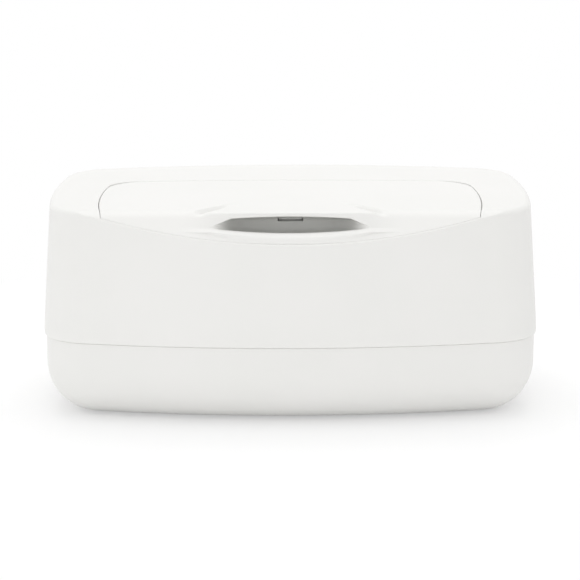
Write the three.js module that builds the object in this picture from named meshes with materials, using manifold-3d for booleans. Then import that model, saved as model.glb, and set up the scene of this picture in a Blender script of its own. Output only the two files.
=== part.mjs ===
// Refillable baby wipes box: a tub, a lift-off cover, a hinged lid and a weight plate.
// Millimetres, +Z up. The front faces -Y, the width lies along X and z = 0 is the surface it stands on.
import * as THREE from 'three';
import { mergeVertices } from 'three/addons/utils/BufferGeometryUtils.js';
import Module from 'manifold-3d';

const wasm = await Module();
wasm.setup();

// Whole box
const OVERALL_WIDTH = 245;
const OVERALL_DEPTH = 141;
const REAR_HEIGHT = 107.8;
const ROOF_SLOPE = THREE.MathUtils.degToRad(3.4);
const FRONT_BOW_RADIUS = 459;
const SIDE_BOW_RADIUS = 261;
const CORNER_RADIUS = 32;
const SPLIT_HEIGHT = 39;
const SPLIT_GAP = 0.4;
const SEAT_GAP = 0.3;

// Cover: the upper moulding
const COVER_WALL = 2.2;
const COVER_DRAFT = 4.5;
const ROOF_EDGE_RADIUS = 3.2;
const COVER_LIP_ROLL = 0.8;
const COVER_LIP_HEIGHT = 5.5;
const FACET_LEAN = THREE.MathUtils.degToRad(43.5);
const FACET_LINE_Y = -54.3;
const FACET_EDGE_RADIUS = 1;

// Tub: the lower moulding
const TUB_STEP = 1.2;
const TUB_WALL = 2.2;
const TUB_FLOOR = 2.5;
const TUB_CORNER_REACH = 24.4;
const TUB_CORNER_RISE = 25.3;
const SPIGOT_WALL = 1.6;
const SPIGOT_HEIGHT = 6;

// Feet
const FOOT_RADIUS = 6;
const FOOT_HEIGHT = 2;
const FOOT_STAND = 0.8;
const FOOT_X = OVERALL_WIDTH / 2 - 38.5;
const FOOT_Y = OVERALL_DEPTH / 2 - 37.5;

// Lid opening in the cover, seen from above
const MOUTH_HALF_WIDTH = 92.8;
const MOUTH_WIDEST_Y = -20;
const MOUTH_SIDE_RADIUS = 200;
const MOUTH_REAR_Y = 21.5;
const MOUTH_REAR_RADIUS = 950;
const MOUTH_CORNER_RADIUS = 15;
const WELL_WALL = 1.8;
const DECK_HEIGHT = REAR_HEIGHT - 27.8;
const DECK_THICKNESS = 2;

// Lid
const LID_WALL = 2;
const LID_GAP = 0.8;
const LID_CORNER_EASE = 4;
const LID_EDGE_RADIUS = 1.2;
const LID_SKIRT = 4.5;
const FRONT_LIP = 1.2;
const FRONT_GAP = 0.35;
const FRONT_EDGE = 1;
const FRONT_EDGE_RUN = 1.5;

// Finger pocket in the lid
const POCKET_TOP_HEIGHT = REAR_HEIGHT - 8.5;
const POCKET_BOTTOM_HEIGHT = POCKET_TOP_HEIGHT - 7.2;
const POCKET_TOP_HALF_WIDTH = 28;
const POCKET_BOTTOM_HALF_WIDTH = 36.5;
const POCKET_TOP_SAG = 0.8;
const POCKET_BOTTOM_SAG = 2.1;
const POCKET_BACK_Y = -47;
const POCKET_WALL = 1.8;
const POCKET_DROP = 1.3;
const POCKET_ROUND = 1.4;
const POCKET_TIP_Y = -60.4;
const POCKET_TIP_HEIGHT = 0.9;
const POCKET_LEVEL_SHARE = 0.55;
const BEZEL_WIDTH = 4.2;
const BEZEL_LAND = 1.4;
const BEZEL_LEAN = THREE.MathUtils.degToRad(25.6);
const BEZEL_LINE_Y = -58.8;
const CATCH_SLOT_WIDTH = 12;
const CATCH_SLOT_HEIGHT = 2.6;
const CATCH_SLOT_LOW = POCKET_BOTTOM_HEIGHT + 3.6;

// Hinge
const HINGE_Y = 2;
const HINGE_DEPTH = 3.8;
const HINGE_X = 74;
const PIN_RADIUS = 1.5;
const PIN_CLEARANCE = 0.1;
const BRACKET_WIDTH = 7;
const BRACKET_BOSS = 2.5;
const BRACKET_FOOT_FRONT = 10.5;
const BRACKET_FOOT_REAR = 5;
const KNUCKLE_RADIUS = 3;
const KNUCKLE_WIDTH = 4;
const KNUCKLE_GAP = 0.5;

// Dispensing opening in the deck, with the rim and the seal round it
const OPENING_LENGTH = 120;
const OPENING_WIDTH = 32;
const OPENING_Y = -21;
const OPENING_CORNER = 12;
const RIM_WALL = 2;
const RIM_HEIGHT = 9;
const SEAL_WIDTH = 3.4;
const SEAL_HEIGHT = 3;
const GROOVE_DEPTH = 1.7;
const GROOVE_WALL = 1.2;
const CARRIER_HEIGHT = 4;

// Catch post on the deck
const CATCH_POST_WIDTH = 11;
const CATCH_POST_THICKNESS = 1.8;
const CATCH_NOSE = 0.8;

// Weight plate with its two steel bars
const PLATE_LENGTH = 172;
const PLATE_WIDTH = 78;
const PLATE_CORNER = 14;
const PLATE_THICKNESS = 2.2;
const PLATE_RIM_WALL = 1.6;
const PLATE_RIM_HEIGHT = 7;
const PLATE_SLOT_LENGTH = 64;
const PLATE_SLOT_WIDTH = 10;
const PLATE_SLOT_CORNER = 4;
const PLATE_COLLAR_HEIGHT = 6;
const BAR_LENGTH = 118;
const BAR_WIDTH = 12;
const BAR_HEIGHT = 4;
const BAR_CORNER = 1.5;
const BAR_Y = 22;
const RAIL_WALL = 1.4;
const RAIL_HEIGHT = 2.5;

// Steps of the curves
const CORNER_STEPS = 9;
const BOW_STEPS = 8;
const ROLL_STEPS = 4;
const TUB_STEPS = 7;
const LENS_STEPS = 12;
const LENS_RUN = 0.9;
const LENS_TIP_STEPS = 4;
const LENS_TIP_TURN = THREE.MathUtils.degToRad(62);
const POCKET_STEPS = 20;
const BEYOND = 60;

const roofHeight = (y) => REAR_HEIGHT - Math.tan(ROOF_SLOPE) * (OVERALL_DEPTH / 2 - COVER_DRAFT - y);
const HINGE_Z = roofHeight(HINGE_Y) - HINGE_DEPTH;
const DECK_LOW = DECK_HEIGHT - DECK_THICKNESS;

// Closed three.js geometry to manifold solid
function toSolid(geometry) {
  const bare = new THREE.BufferGeometry();
  bare.setAttribute('position', geometry.getAttribute('position').clone());
  if (geometry.index) bare.setIndex(geometry.index.clone());
  const merged = mergeVertices(bare, 1e-5);
  return new wasm.Manifold(new wasm.Mesh({
    numProp: 3,
    vertProperties: new Float32Array(merged.getAttribute('position').array),
    triVerts: new Uint32Array(merged.index.array),
  }));
}

// Manifold solid to three.js geometry
function toGeometry(solid) {
  const mesh = solid.getMesh();
  const geometry = new THREE.BufferGeometry();
  geometry.setAttribute('position', new THREE.BufferAttribute(Float32Array.from(mesh.vertProperties), 3));
  geometry.setIndex(new THREE.BufferAttribute(Uint32Array.from(mesh.triVerts), 1));
  geometry.computeVertexNormals();
  return geometry;
}

// Largest body of a solid, without the slivers that grazing cuts leave
function mainBody(solid) {
  return solid.decompose().reduce((best, body) => (body.volume() > best.volume() ? body : best));
}

// Shape pushed up from one height to another
function prismUp(shape, low, high) {
  const geometry = new THREE.ExtrudeGeometry(shape, { depth: high - low, bevelEnabled: false });
  return toSolid(geometry.translate(0, 0, low));
}

// Shape of (y, z) points pushed along X
function prismAcross(shape, fromX, toX) {
  const geometry = new THREE.ExtrudeGeometry(shape, { depth: toX - fromX, bevelEnabled: false });
  const turn = new THREE.Matrix4().makeBasis(
    new THREE.Vector3(0, 1, 0), new THREE.Vector3(0, 0, 1), new THREE.Vector3(1, 0, 0));
  return toSolid(geometry.applyMatrix4(turn).translate(fromX, 0, 0));
}

// Round bar along X
function rodAcross(radius, fromX, toX, y, z, sides = 20) {
  const geometry = new THREE.CylinderGeometry(radius, radius, toX - fromX, sides);
  return toSolid(geometry.rotateZ(Math.PI / 2).translate((fromX + toX) / 2, y, z));
}

function block(fromX, toX, fromY, toY, low, high) {
  const geometry = new THREE.BoxGeometry(toX - fromX, toY - fromY, high - low);
  return toSolid(geometry.translate((fromX + toX) / 2, (fromY + toY) / 2, (low + high) / 2));
}

// Skin through rings of equal point count, closed by a fan on the first and the last
function loft(rings) {
  const count = rings[0].length;
  const points = rings.flat();
  const indices = [];
  for (let level = 0; level + 1 < rings.length; level += 1) {
    for (let i = 0; i < count; i += 1) {
      const here = level * count + i;
      const next = level * count + ((i + 1) % count);
      indices.push(here, next, next + count, here, next + count, here + count);
    }
  }
  for (const [level, flip] of [[0, true], [rings.length - 1, false]]) {
    const middle = rings[level].reduce((sum, point) => sum.add(point), new THREE.Vector3());
    points.push(middle.divideScalar(count));
    for (let i = 0; i < count; i += 1) {
      const here = level * count + i;
      const next = level * count + ((i + 1) % count);
      indices.push(points.length - 1, flip ? next : here, flip ? here : next);
    }
  }
  const geometry = new THREE.BufferGeometry().setFromPoints(points);
  geometry.setIndex(indices);
  return toSolid(geometry);
}

// Centre of the arc that touches two larger arcs from inside, on their +X +Y side
function cornerCentre(first, firstReach, second, secondReach) {
  const along = second.clone().sub(first);
  const span = along.length();
  along.normalize();
  const run = (span * span + firstReach * firstReach - secondReach * secondReach) / (2 * span);
  const rise = Math.sqrt(firstReach * firstReach - run * run);
  const foot = first.clone().addScaledVector(along, run);
  const side = new THREE.Vector2(-along.y, along.x).multiplyScalar(rise);
  const choices = [foot.clone().add(side), foot.clone().sub(side)];
  return choices[0].x + choices[0].y > choices[1].x + choices[1].y ? choices[0] : choices[1];
}

function arcPoints(centre, radius, from, to, steps) {
  return Array.from({ length: steps + 1 }, (_, i) => {
    const angle = from + ((to - from) * i) / steps;
    return new THREE.Vector2(centre.x + radius * Math.cos(angle), centre.y + radius * Math.sin(angle));
  });
}

// Outline of the box from above: bowed front and back, bowed sides, round corners, all tangent
function boxPlan(inset) {
  const end = new THREE.Vector2(0, OVERALL_DEPTH / 2 - FRONT_BOW_RADIUS);
  const side = new THREE.Vector2(OVERALL_WIDTH / 2 - SIDE_BOW_RADIUS, 0);
  const corner = cornerCentre(
    end, FRONT_BOW_RADIUS - CORNER_RADIUS, side, SIDE_BOW_RADIUS - CORNER_RADIUS);
  const sideTurn = Math.atan2(corner.y - side.y, corner.x - side.x);
  const endTurn = Math.atan2(corner.y - end.y, corner.x - end.x);
  const quarter = [
    ...arcPoints(side, SIDE_BOW_RADIUS - inset, 0, sideTurn, BOW_STEPS / 2).slice(0, -1),
    ...arcPoints(corner, CORNER_RADIUS - inset, sideTurn, endTurn, CORNER_STEPS).slice(0, -1),
    ...arcPoints(end, FRONT_BOW_RADIUS - inset, endTurn, Math.PI / 2, BOW_STEPS / 2),
  ];
  const rightToLeft = quarter.slice(0, -1).map((p) => new THREE.Vector2(-p.x, p.y)).reverse();
  const rear = [...quarter, ...rightToLeft];
  const front = rear.slice(1, -1).map((p) => new THREE.Vector2(p.x, -p.y)).reverse();
  return [...rear, ...front];
}

// The box plan swept up a profile of [inset, height]: above the split the walls draw in and the
// heights lean with the roof, so that the last ring lies in the sloping roof
function sweepBox(profile) {
  return loft(profile.map(([inset, height]) => {
    const rise = Math.max(0, (height - SPLIT_HEIGHT) / (REAR_HEIGHT - SPLIT_HEIGHT));
    return boxPlan(inset + COVER_DRAFT * rise).map((point) => {
      const lean = (roofHeight(point.y) - REAR_HEIGHT) * rise;
      return new THREE.Vector3(point.x, point.y, height + lean);
    });
  }));
}

// Profile of a quarter roll that ends a wall
function roll(inset, height, radius, steps) {
  return Array.from({ length: steps + 1 }, (_, i) => {
    const angle = (Math.PI / 2) * (i / steps);
    return [inset + radius * (1 - Math.cos(angle)), height - radius * (1 - Math.sin(angle))];
  });
}

// Everything under the roof and behind the leaning facet, drawn in by a depth
function underSkin(depth, edgeRadius = 0) {
  const roofDrop = depth / Math.cos(ROOF_SLOPE);
  const facetRise = 1 / Math.tan(FACET_LEAN);
  const facetDrop = depth * Math.hypot(1, facetRise);
  const roofAt = (y) => roofHeight(y) - roofDrop;
  const facetAt = (y) => roofHeight(FACET_LINE_Y) + (y - FACET_LINE_Y) * facetRise - facetDrop;
  const slope = Math.tan(ROOF_SLOPE);
  const edgeY = FACET_LINE_Y + (facetDrop - roofDrop) / (facetRise - slope);
  const rear = OVERALL_DEPTH / 2 + BEYOND;
  const low = -OVERALL_DEPTH / 2 - BEYOND;
  const shape = new THREE.Shape();
  shape.moveTo(low, facetAt(low));
  shape.lineTo(edgeY - edgeRadius * Math.sin(FACET_LEAN), facetAt(edgeY - edgeRadius * Math.sin(FACET_LEAN)));
  shape.quadraticCurveTo(edgeY, roofAt(edgeY), edgeY + edgeRadius + 0.001, roofAt(edgeY + edgeRadius + 0.001));
  shape.lineTo(rear, roofAt(rear));
  shape.lineTo(rear, facetAt(low));
  const geometry = new THREE.ExtrudeGeometry(
    shape, { depth: OVERALL_WIDTH + BEYOND, bevelEnabled: false, curveSegments: edgeRadius ? 4 : 1 });
  const turn = new THREE.Matrix4().makeBasis(
    new THREE.Vector3(0, 1, 0), new THREE.Vector3(0, 0, 1), new THREE.Vector3(1, 0, 0));
  return toSolid(geometry.applyMatrix4(turn).translate(-(OVERALL_WIDTH + BEYOND) / 2, 0, 0));
}

// Outline of the lid opening, running out past the front of the box
function mouthPlan(inset, ease = 0) {
  const round = MOUTH_CORNER_RADIUS + ease;
  const rear = new THREE.Vector2(0, MOUTH_REAR_Y - MOUTH_REAR_RADIUS);
  const side = new THREE.Vector2(MOUTH_HALF_WIDTH - MOUTH_SIDE_RADIUS, MOUTH_WIDEST_Y);
  const corner = cornerCentre(rear, MOUTH_REAR_RADIUS - round, side, MOUTH_SIDE_RADIUS - round);
  const sideTurn = Math.atan2(corner.y - side.y, corner.x - side.x);
  const rearTurn = Math.atan2(corner.y - rear.y, corner.x - rear.x);
  const reach = OVERALL_DEPTH / 2 + MOUTH_WIDEST_Y + TUB_STEP;
  const start = -Math.asin(reach / MOUTH_SIDE_RADIUS);
  const half = [
    ...arcPoints(side, MOUTH_SIDE_RADIUS - inset, start, sideTurn, BOW_STEPS).slice(0, -1),
    ...arcPoints(corner, round - inset, sideTurn, rearTurn, CORNER_STEPS).slice(0, -1),
    ...arcPoints(rear, MOUTH_REAR_RADIUS - inset, rearTurn, Math.PI / 2, BOW_STEPS / 2),
  ];
  return [...half, ...half.slice(0, -1).map((p) => new THREE.Vector2(-p.x, p.y)).reverse()];
}

function mouthPrism(inset, low, high, ease = 0) {
  return prismUp(new THREE.Shape(mouthPlan(inset, ease)), low, high);
}

// Rounded rectangle centred on (0, y)
function roundedBar(length, width, radius, y) {
  const shape = new THREE.Shape();
  const reachX = length / 2 - radius;
  const reachY = width / 2 - radius;
  shape.absarc(reachX, y + reachY, radius, 0, Math.PI / 2, false);
  shape.absarc(-reachX, y + reachY, radius, Math.PI / 2, Math.PI, false);
  shape.absarc(-reachX, y - reachY, radius, Math.PI, 1.5 * Math.PI, false);
  shape.absarc(reachX, y - reachY, radius, 1.5 * Math.PI, 2 * Math.PI, false);
  return new THREE.Shape(shape.getPoints(6));
}

// Ring that follows the dispensing opening, between two distances outside its edge
function openingRing(inner, outer, low, high) {
  const grown = (grow) => roundedBar(
    OPENING_LENGTH + 2 * grow, OPENING_WIDTH + 2 * grow, OPENING_CORNER + grow, OPENING_Y);
  return prismUp(grown(outer), low, high).subtract(prismUp(grown(inner), low - 1, high + 1));
}

// Height of the pocket's lower lip and of its upper lip at a share of its half width; the upper lip
// is level over the middle and runs down to the lower one at the tips
function pocketLips(share) {
  const away = Math.abs(share);
  const low = POCKET_BOTTOM_HEIGHT + POCKET_BOTTOM_SAG * away * away;
  const levelEnd = POCKET_TOP_HALF_WIDTH / POCKET_BOTTOM_HALF_WIDTH;
  const level = POCKET_TOP_HEIGHT - POCKET_TOP_SAG * Math.min(1, away / levelEnd) ** 2;
  const tip = POCKET_BOTTOM_HEIGHT + POCKET_BOTTOM_SAG + POCKET_TIP_HEIGHT;
  const down = Math.max(0, (away - levelEnd) / (1 - levelEnd));
  return { low, high: THREE.MathUtils.lerp(level, tip, down) };
}

// Lens-shaped outline at a distance outside the finger pocket, from the front, as (x, z) points
function pocketLens(grow) {
  const tipReach = grow + POCKET_TIP_HEIGHT / 2;
  const tipX = POCKET_BOTTOM_HALF_WIDTH - POCKET_TIP_HEIGHT / 2;
  const tipZ = POCKET_BOTTOM_HEIGHT + POCKET_BOTTOM_SAG + POCKET_TIP_HEIGHT / 2;
  const shares = Array.from({ length: LENS_STEPS + 1 }, (_, i) => ((2 * i) / LENS_STEPS - 1) * LENS_RUN);
  const lower = shares.map(
    (share) => new THREE.Vector2(share * POCKET_BOTTOM_HALF_WIDTH, pocketLips(share).low - grow));
  const upper = shares.map(
    (share) => new THREE.Vector2(share * POCKET_BOTTOM_HALF_WIDTH, pocketLips(share).high + grow));
  const tip = arcPoints(new THREE.Vector2(tipX, tipZ), tipReach, -LENS_TIP_TURN, LENS_TIP_TURN, LENS_TIP_STEPS);
  const farTip = tip.map((point) => new THREE.Vector2(-point.x, point.y)).reverse();
  return [...lower, ...tip, ...upper.reverse(), ...farTip];
}

// The pocket's hollow, or with grow the block of material round it: a scoop that keeps its full
// depth over the middle and runs out to nothing at its two tips
function pocketCore(grow) {
  const front = BEZEL_LINE_Y - BEYOND / 4;
  return loft(Array.from({ length: POCKET_STEPS + 1 }, (_, i) => {
    const share = (2 * i) / POCKET_STEPS - 1;
    const fade = 1 - THREE.MathUtils.smoothstep(Math.abs(share), POCKET_LEVEL_SHARE, 1);
    const back = THREE.MathUtils.lerp(POCKET_TIP_Y, POCKET_BACK_Y, fade) + grow;
    const lips = pocketLips(share);
    const low = lips.low - grow;
    const high = lips.high + grow;
    const drop = POCKET_DROP * fade;
    const round = Math.min(POCKET_ROUND, (high - low) / 3);
    const section = [
      [front, low], [back - 2 * round, low - drop * 0.8], [back - round / 3, low - drop + round / 3],
      [back, low - drop + round], [back, high - drop - round], [back - round / 3, high - drop - round / 3],
      [back - 2 * round, high - drop * 0.8], [front, high]];
    return section.map(([y, z]) => new THREE.Vector3(share * (POCKET_BOTTOM_HALF_WIDTH + grow), y, z));
  }));
}

// Rounded bezel round the pocket, standing out of the leaning facet
function pocketBezel() {
  const facetY = (z) => FACET_LINE_Y - Math.tan(FACET_LEAN) * (roofHeight(FACET_LINE_Y) - z);
  const bezelY = (z) => BEZEL_LINE_Y - Math.tan(BEZEL_LEAN) * (POCKET_TOP_HEIGHT - z);
  const rings = [];
  const steps = 6;
  for (let i = 0; i <= steps; i += 1) {
    const share = i / steps;
    const swell = Math.sin((share * Math.PI) / 2);
    const grow = BEZEL_WIDTH - (BEZEL_WIDTH - BEZEL_LAND) * share;
    rings.push(pocketLens(grow).map((p) => {
      const y = THREE.MathUtils.lerp(facetY(p.y) + 1, bezelY(p.y), swell);
      return new THREE.Vector3(p.x, y, p.y);
    }));
  }
  return loft(rings);
}

// Base tub with its round lower corners, the spigot that guides the cover and the foot sockets
function buildTub() {
  const splitLow = SPLIT_HEIGHT - SPLIT_GAP / 2;
  const quarter = (inset, floor, reach, rise) => Array.from({ length: TUB_STEPS + 1 }, (_, i) => {
    const angle = (Math.PI / 2) * (i / TUB_STEPS);
    return [inset + reach * (1 - Math.sin(angle)), floor + rise * (1 - Math.cos(angle))];
  });
  const outer = sweepBox([
    ...quarter(TUB_STEP, FOOT_STAND, TUB_CORNER_REACH, TUB_CORNER_RISE), [TUB_STEP, splitLow]]);
  const spigotOut = COVER_WALL + SEAT_GAP;
  const spigot = sweepBox([
    [spigotOut, splitLow - SPIGOT_HEIGHT / 2],
    [spigotOut, splitLow + SPIGOT_HEIGHT - 1],
    [spigotOut + 0.5, splitLow + SPIGOT_HEIGHT],
  ]);
  const inner = sweepBox([
    ...quarter(TUB_STEP + TUB_WALL, FOOT_STAND + TUB_FLOOR, TUB_CORNER_REACH - TUB_WALL,
      TUB_CORNER_RISE - TUB_FLOOR),
    [TUB_STEP + TUB_WALL, splitLow - SPIGOT_HEIGHT / 2 - 1],
    [spigotOut + SPIGOT_WALL, splitLow - SPIGOT_HEIGHT / 2 + 1],
    [spigotOut + SPIGOT_WALL, splitLow + SPIGOT_HEIGHT + BEYOND / 10],
  ]);
  const socket = (x, y) => {
    const depth = FOOT_HEIGHT - FOOT_STAND + SEAT_GAP;
    const cutter = new THREE.CylinderGeometry(FOOT_RADIUS + SEAT_GAP, FOOT_RADIUS + SEAT_GAP, 2 * depth, 24);
    return toSolid(cutter.rotateX(Math.PI / 2).translate(x, y, FOOT_STAND));
  };
  let tub = outer.add(spigot).subtract(inner);
  for (const x of [-FOOT_X, FOOT_X]) {
    for (const y of [-FOOT_Y, FOOT_Y]) tub = tub.subtract(socket(x, y));
  }
  return tub;
}

// One soft foot, a disc with a round lower edge
function buildFoot(x, y) {
  const edge = 0.4;
  const profile = [
    new THREE.Vector2(0, 0), new THREE.Vector2(FOOT_RADIUS - edge, 0), new THREE.Vector2(FOOT_RADIUS, edge),
    new THREE.Vector2(FOOT_RADIUS, FOOT_HEIGHT), new THREE.Vector2(0, FOOT_HEIGHT)];
  return toSolid(new THREE.LatheGeometry(profile, 24).rotateX(Math.PI / 2).translate(x, y, 0));
}

// Bracket that carries a hinge pin, leaning back from its foot on the deck
function hingeBracket(x) {
  const half = BRACKET_WIDTH / 2;
  const shape = new THREE.Shape();
  shape.moveTo(HINGE_Y - BRACKET_FOOT_FRONT, DECK_LOW + DECK_THICKNESS / 2);
  shape.lineTo(HINGE_Y - BRACKET_FOOT_REAR, DECK_LOW + DECK_THICKNESS / 2);
  shape.lineTo(HINGE_Y - BRACKET_FOOT_REAR, DECK_HEIGHT + 1);
  shape.lineTo(HINGE_Y + BRACKET_BOSS * 0.35, HINGE_Z - BRACKET_BOSS * 0.9);
  shape.lineTo(HINGE_Y, HINGE_Z);
  shape.lineTo(HINGE_Y - BRACKET_BOSS * 0.9, HINGE_Z + BRACKET_BOSS * 0.35);
  shape.lineTo(HINGE_Y - BRACKET_FOOT_FRONT, DECK_HEIGHT + 4);
  const arm = prismAcross(shape, x - half, x + half);
  return arm.add(rodAcross(BRACKET_BOSS, x - half, x + half, HINGE_Y, HINGE_Z));
}

// Post behind the finger pocket, with the nose that holds the lid shut
function catchPost() {
  const front = POCKET_BACK_Y + POCKET_WALL + SEAT_GAP;
  const top = CATCH_SLOT_LOW + CATCH_SLOT_HEIGHT;
  const shape = new THREE.Shape();
  shape.moveTo(front + CATCH_NOSE, DECK_LOW + DECK_THICKNESS / 2);
  shape.lineTo(front + CATCH_NOSE + CATCH_POST_THICKNESS, DECK_LOW + DECK_THICKNESS / 2);
  shape.lineTo(front + CATCH_NOSE + CATCH_POST_THICKNESS, top);
  shape.lineTo(front + CATCH_NOSE, top);
  shape.lineTo(front, top - CATCH_NOSE);
  shape.lineTo(front, CATCH_SLOT_LOW + CATCH_NOSE);
  shape.lineTo(front + CATCH_NOSE, CATCH_SLOT_LOW);
  return prismAcross(shape, -CATCH_POST_WIDTH / 2, CATCH_POST_WIDTH / 2);
}

// Outer form of the cover: drafted walls, rolled roof edge and the facet that cuts the smile line
function coverOuter() {
  const low = SPLIT_HEIGHT + SPLIT_GAP / 2;
  return sweepBox([
    [COVER_LIP_ROLL, low],
    [COVER_LIP_ROLL * 0.4, low + COVER_LIP_HEIGHT * 0.25],
    [COVER_LIP_ROLL * 0.1, low + COVER_LIP_HEIGHT * 0.6],
    [0, low + COVER_LIP_HEIGHT],
    ...roll(0, REAR_HEIGHT, ROOF_EDGE_RADIUS, ROLL_STEPS),
  ]).intersect(underSkin(0, FACET_EDGE_RADIUS));
}

// Upper cover with the well that takes the lid, the deck, the rim, the brackets and the catch post
function buildCover() {
  const outer = coverOuter();
  const cavity = sweepBox([[COVER_WALL, SPLIT_HEIGHT - 1], [COVER_WALL, REAR_HEIGHT + 1]])
    .intersect(underSkin(COVER_WALL));
  const wellBlock = mouthPrism(-WELL_WALL, DECK_LOW, REAR_HEIGHT + 1).intersect(outer);
  const recess = mouthPrism(0, DECK_HEIGHT, REAR_HEIGHT + BEYOND).intersect(behindFrontWall(COVER_WALL));
  const lidSeat = mouthPrism(0, DECK_HEIGHT, REAR_HEIGHT + BEYOND).intersect(behindFrontWall(FRONT_LIP))
    .subtract(underSkin(FRONT_EDGE + FRONT_GAP));
  const hole = roundedBar(OPENING_LENGTH, OPENING_WIDTH, OPENING_CORNER, OPENING_Y);
  let cover = outer.subtract(cavity).add(wellBlock).subtract(recess).subtract(lidSeat);
  cover = cover.add(openingRing(0, RIM_WALL, DECK_LOW, DECK_HEIGHT + RIM_HEIGHT));
  cover = cover.subtract(prismUp(hole, DECK_LOW - 1, DECK_HEIGHT + RIM_HEIGHT + 1)).add(catchPost());
  for (const x of [-HINGE_X, HINGE_X]) {
    const half = BRACKET_WIDTH / 2 + 1;
    cover = cover.add(hingeBracket(x))
      .subtract(rodAcross(PIN_RADIUS + PIN_CLEARANCE, x - half, x + half, HINGE_Y, HINGE_Z));
  }
  return cover;
}

// Inside of the front wall, drawn in by a distance and open upwards
function behindFrontWall(inset) {
  return sweepBox([[inset, SPLIT_HEIGHT], [inset, REAR_HEIGHT + BEYOND]]);
}

// The lid's outside: the mouth outline swept up to a soft edge in the roof, cut by the facet
function lidOuter() {
  const profile = [[0, -BEYOND], ...roll(0, 0, LID_EDGE_RADIUS, ROLL_STEPS)];
  const body = loft(profile.map(([inset, height]) => mouthPlan(LID_GAP + inset, LID_CORNER_EASE)
    .map((p) => new THREE.Vector3(p.x, p.y, roofHeight(p.y) + height))));
  return body.intersect(underSkin(0, FACET_EDGE_RADIUS)).intersect(behindFrontWall(FRONT_LIP + FRONT_GAP));
}

// Lid with the skirt, the finger pocket, the seal carrier and the hinge knuckles
function buildLid() {
  const outer = lidOuter();
  const inFront = behindFrontWall(FRONT_LIP + FRONT_GAP);
  const hollow = mouthPrism(LID_GAP + LID_WALL, DECK_LOW, REAR_HEIGHT + BEYOND, LID_CORNER_EASE)
    .intersect(underSkin(LID_WALL));
  const frontStep = underSkin(FRONT_EDGE)
    .subtract(behindFrontWall(FRONT_LIP + FRONT_GAP + FRONT_EDGE_RUN));
  const roofOnly = prismAcross(roofShape(), -OVERALL_WIDTH / 2, OVERALL_WIDTH / 2);
  const bezel = pocketBezel().intersect(roofOnly).intersect(inFront);
  const envelope = outer.add(bezel);
  const pocketBlock = pocketCore(POCKET_WALL).intersect(envelope);
  const sealTop = DECK_HEIGHT + RIM_HEIGHT + SEAT_GAP + SEAL_HEIGHT;
  const carrierLow = sealTop + SEAT_GAP - GROOVE_DEPTH;
  const middle = RIM_WALL / 2;
  const grooveHalf = SEAL_WIDTH / 2 + SEAT_GAP;
  const carrierHalf = grooveHalf + GROOVE_WALL;
  let lid = outer.subtract(underSkin(LID_SKIRT)).subtract(hollow).subtract(frontStep)
    .add(bezel).add(pocketBlock);
  const carrier = openingRing(middle - carrierHalf, middle + carrierHalf, carrierLow, carrierLow + CARRIER_HEIGHT)
    .add(openingRing(middle - 1, middle + 1, carrierLow + CARRIER_HEIGHT / 2, REAR_HEIGHT).intersect(outer));
  lid = lid.add(carrier)
    .subtract(openingRing(middle - grooveHalf, middle + grooveHalf, carrierLow - 1, carrierLow + GROOVE_DEPTH));
  for (const x of [-HINGE_X, HINGE_X]) lid = lid.add(hingeKnuckles(x).intersect(outer));
  for (const x of [-HINGE_X, HINGE_X]) {
    const half = BRACKET_WIDTH / 2 + KNUCKLE_GAP;
    const reach = half + KNUCKLE_WIDTH;
    lid = lid.subtract(rodAcross(BRACKET_BOSS + SEAT_GAP, x - half, x + half, HINGE_Y, HINGE_Z));
    lid = lid.subtract(rodAcross(PIN_RADIUS + PIN_CLEARANCE, x - reach - 1, x + reach + 1, HINGE_Y, HINGE_Z));
  }
  const slot = block(-CATCH_SLOT_WIDTH / 2, CATCH_SLOT_WIDTH / 2, POCKET_BACK_Y - 3,
    POCKET_BACK_Y + POCKET_WALL + 1, CATCH_SLOT_LOW, CATCH_SLOT_LOW + CATCH_SLOT_HEIGHT);
  return mainBody(lid.subtract(pocketCore(0)).subtract(slot));
}

// Everything under the roof plane, as (y, z) points
function roofShape() {
  const far = OVERALL_DEPTH / 2;
  return new THREE.Shape([
    new THREE.Vector2(-far, DECK_LOW), new THREE.Vector2(far, DECK_LOW),
    new THREE.Vector2(far, roofHeight(far)), new THREE.Vector2(-far, roofHeight(-far))]);
}

// The two knuckles of the lid that stand either side of a bracket
function hingeKnuckles(x) {
  const inner = BRACKET_WIDTH / 2 + KNUCKLE_GAP;
  const outer = inner + KNUCKLE_WIDTH;
  const knuckle = (from, to) => rodAcross(KNUCKLE_RADIUS, from, to, HINGE_Y, HINGE_Z)
    .add(block(from, to, HINGE_Y - KNUCKLE_RADIUS, HINGE_Y + KNUCKLE_RADIUS, HINGE_Z, REAR_HEIGHT));
  return knuckle(x - outer, x - inner).add(knuckle(x + inner, x + outer));
}

function buildPin(x) {
  const reach = BRACKET_WIDTH / 2 + KNUCKLE_GAP + KNUCKLE_WIDTH;
  return rodAcross(PIN_RADIUS, x - reach, x + reach, HINGE_Y, HINGE_Z);
}

function buildSeal() {
  const low = DECK_HEIGHT + RIM_HEIGHT + SEAT_GAP;
  const middle = RIM_WALL / 2;
  return openingRing(middle - SEAL_WIDTH / 2, middle + SEAL_WIDTH / 2, low, low + SEAL_HEIGHT);
}

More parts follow.
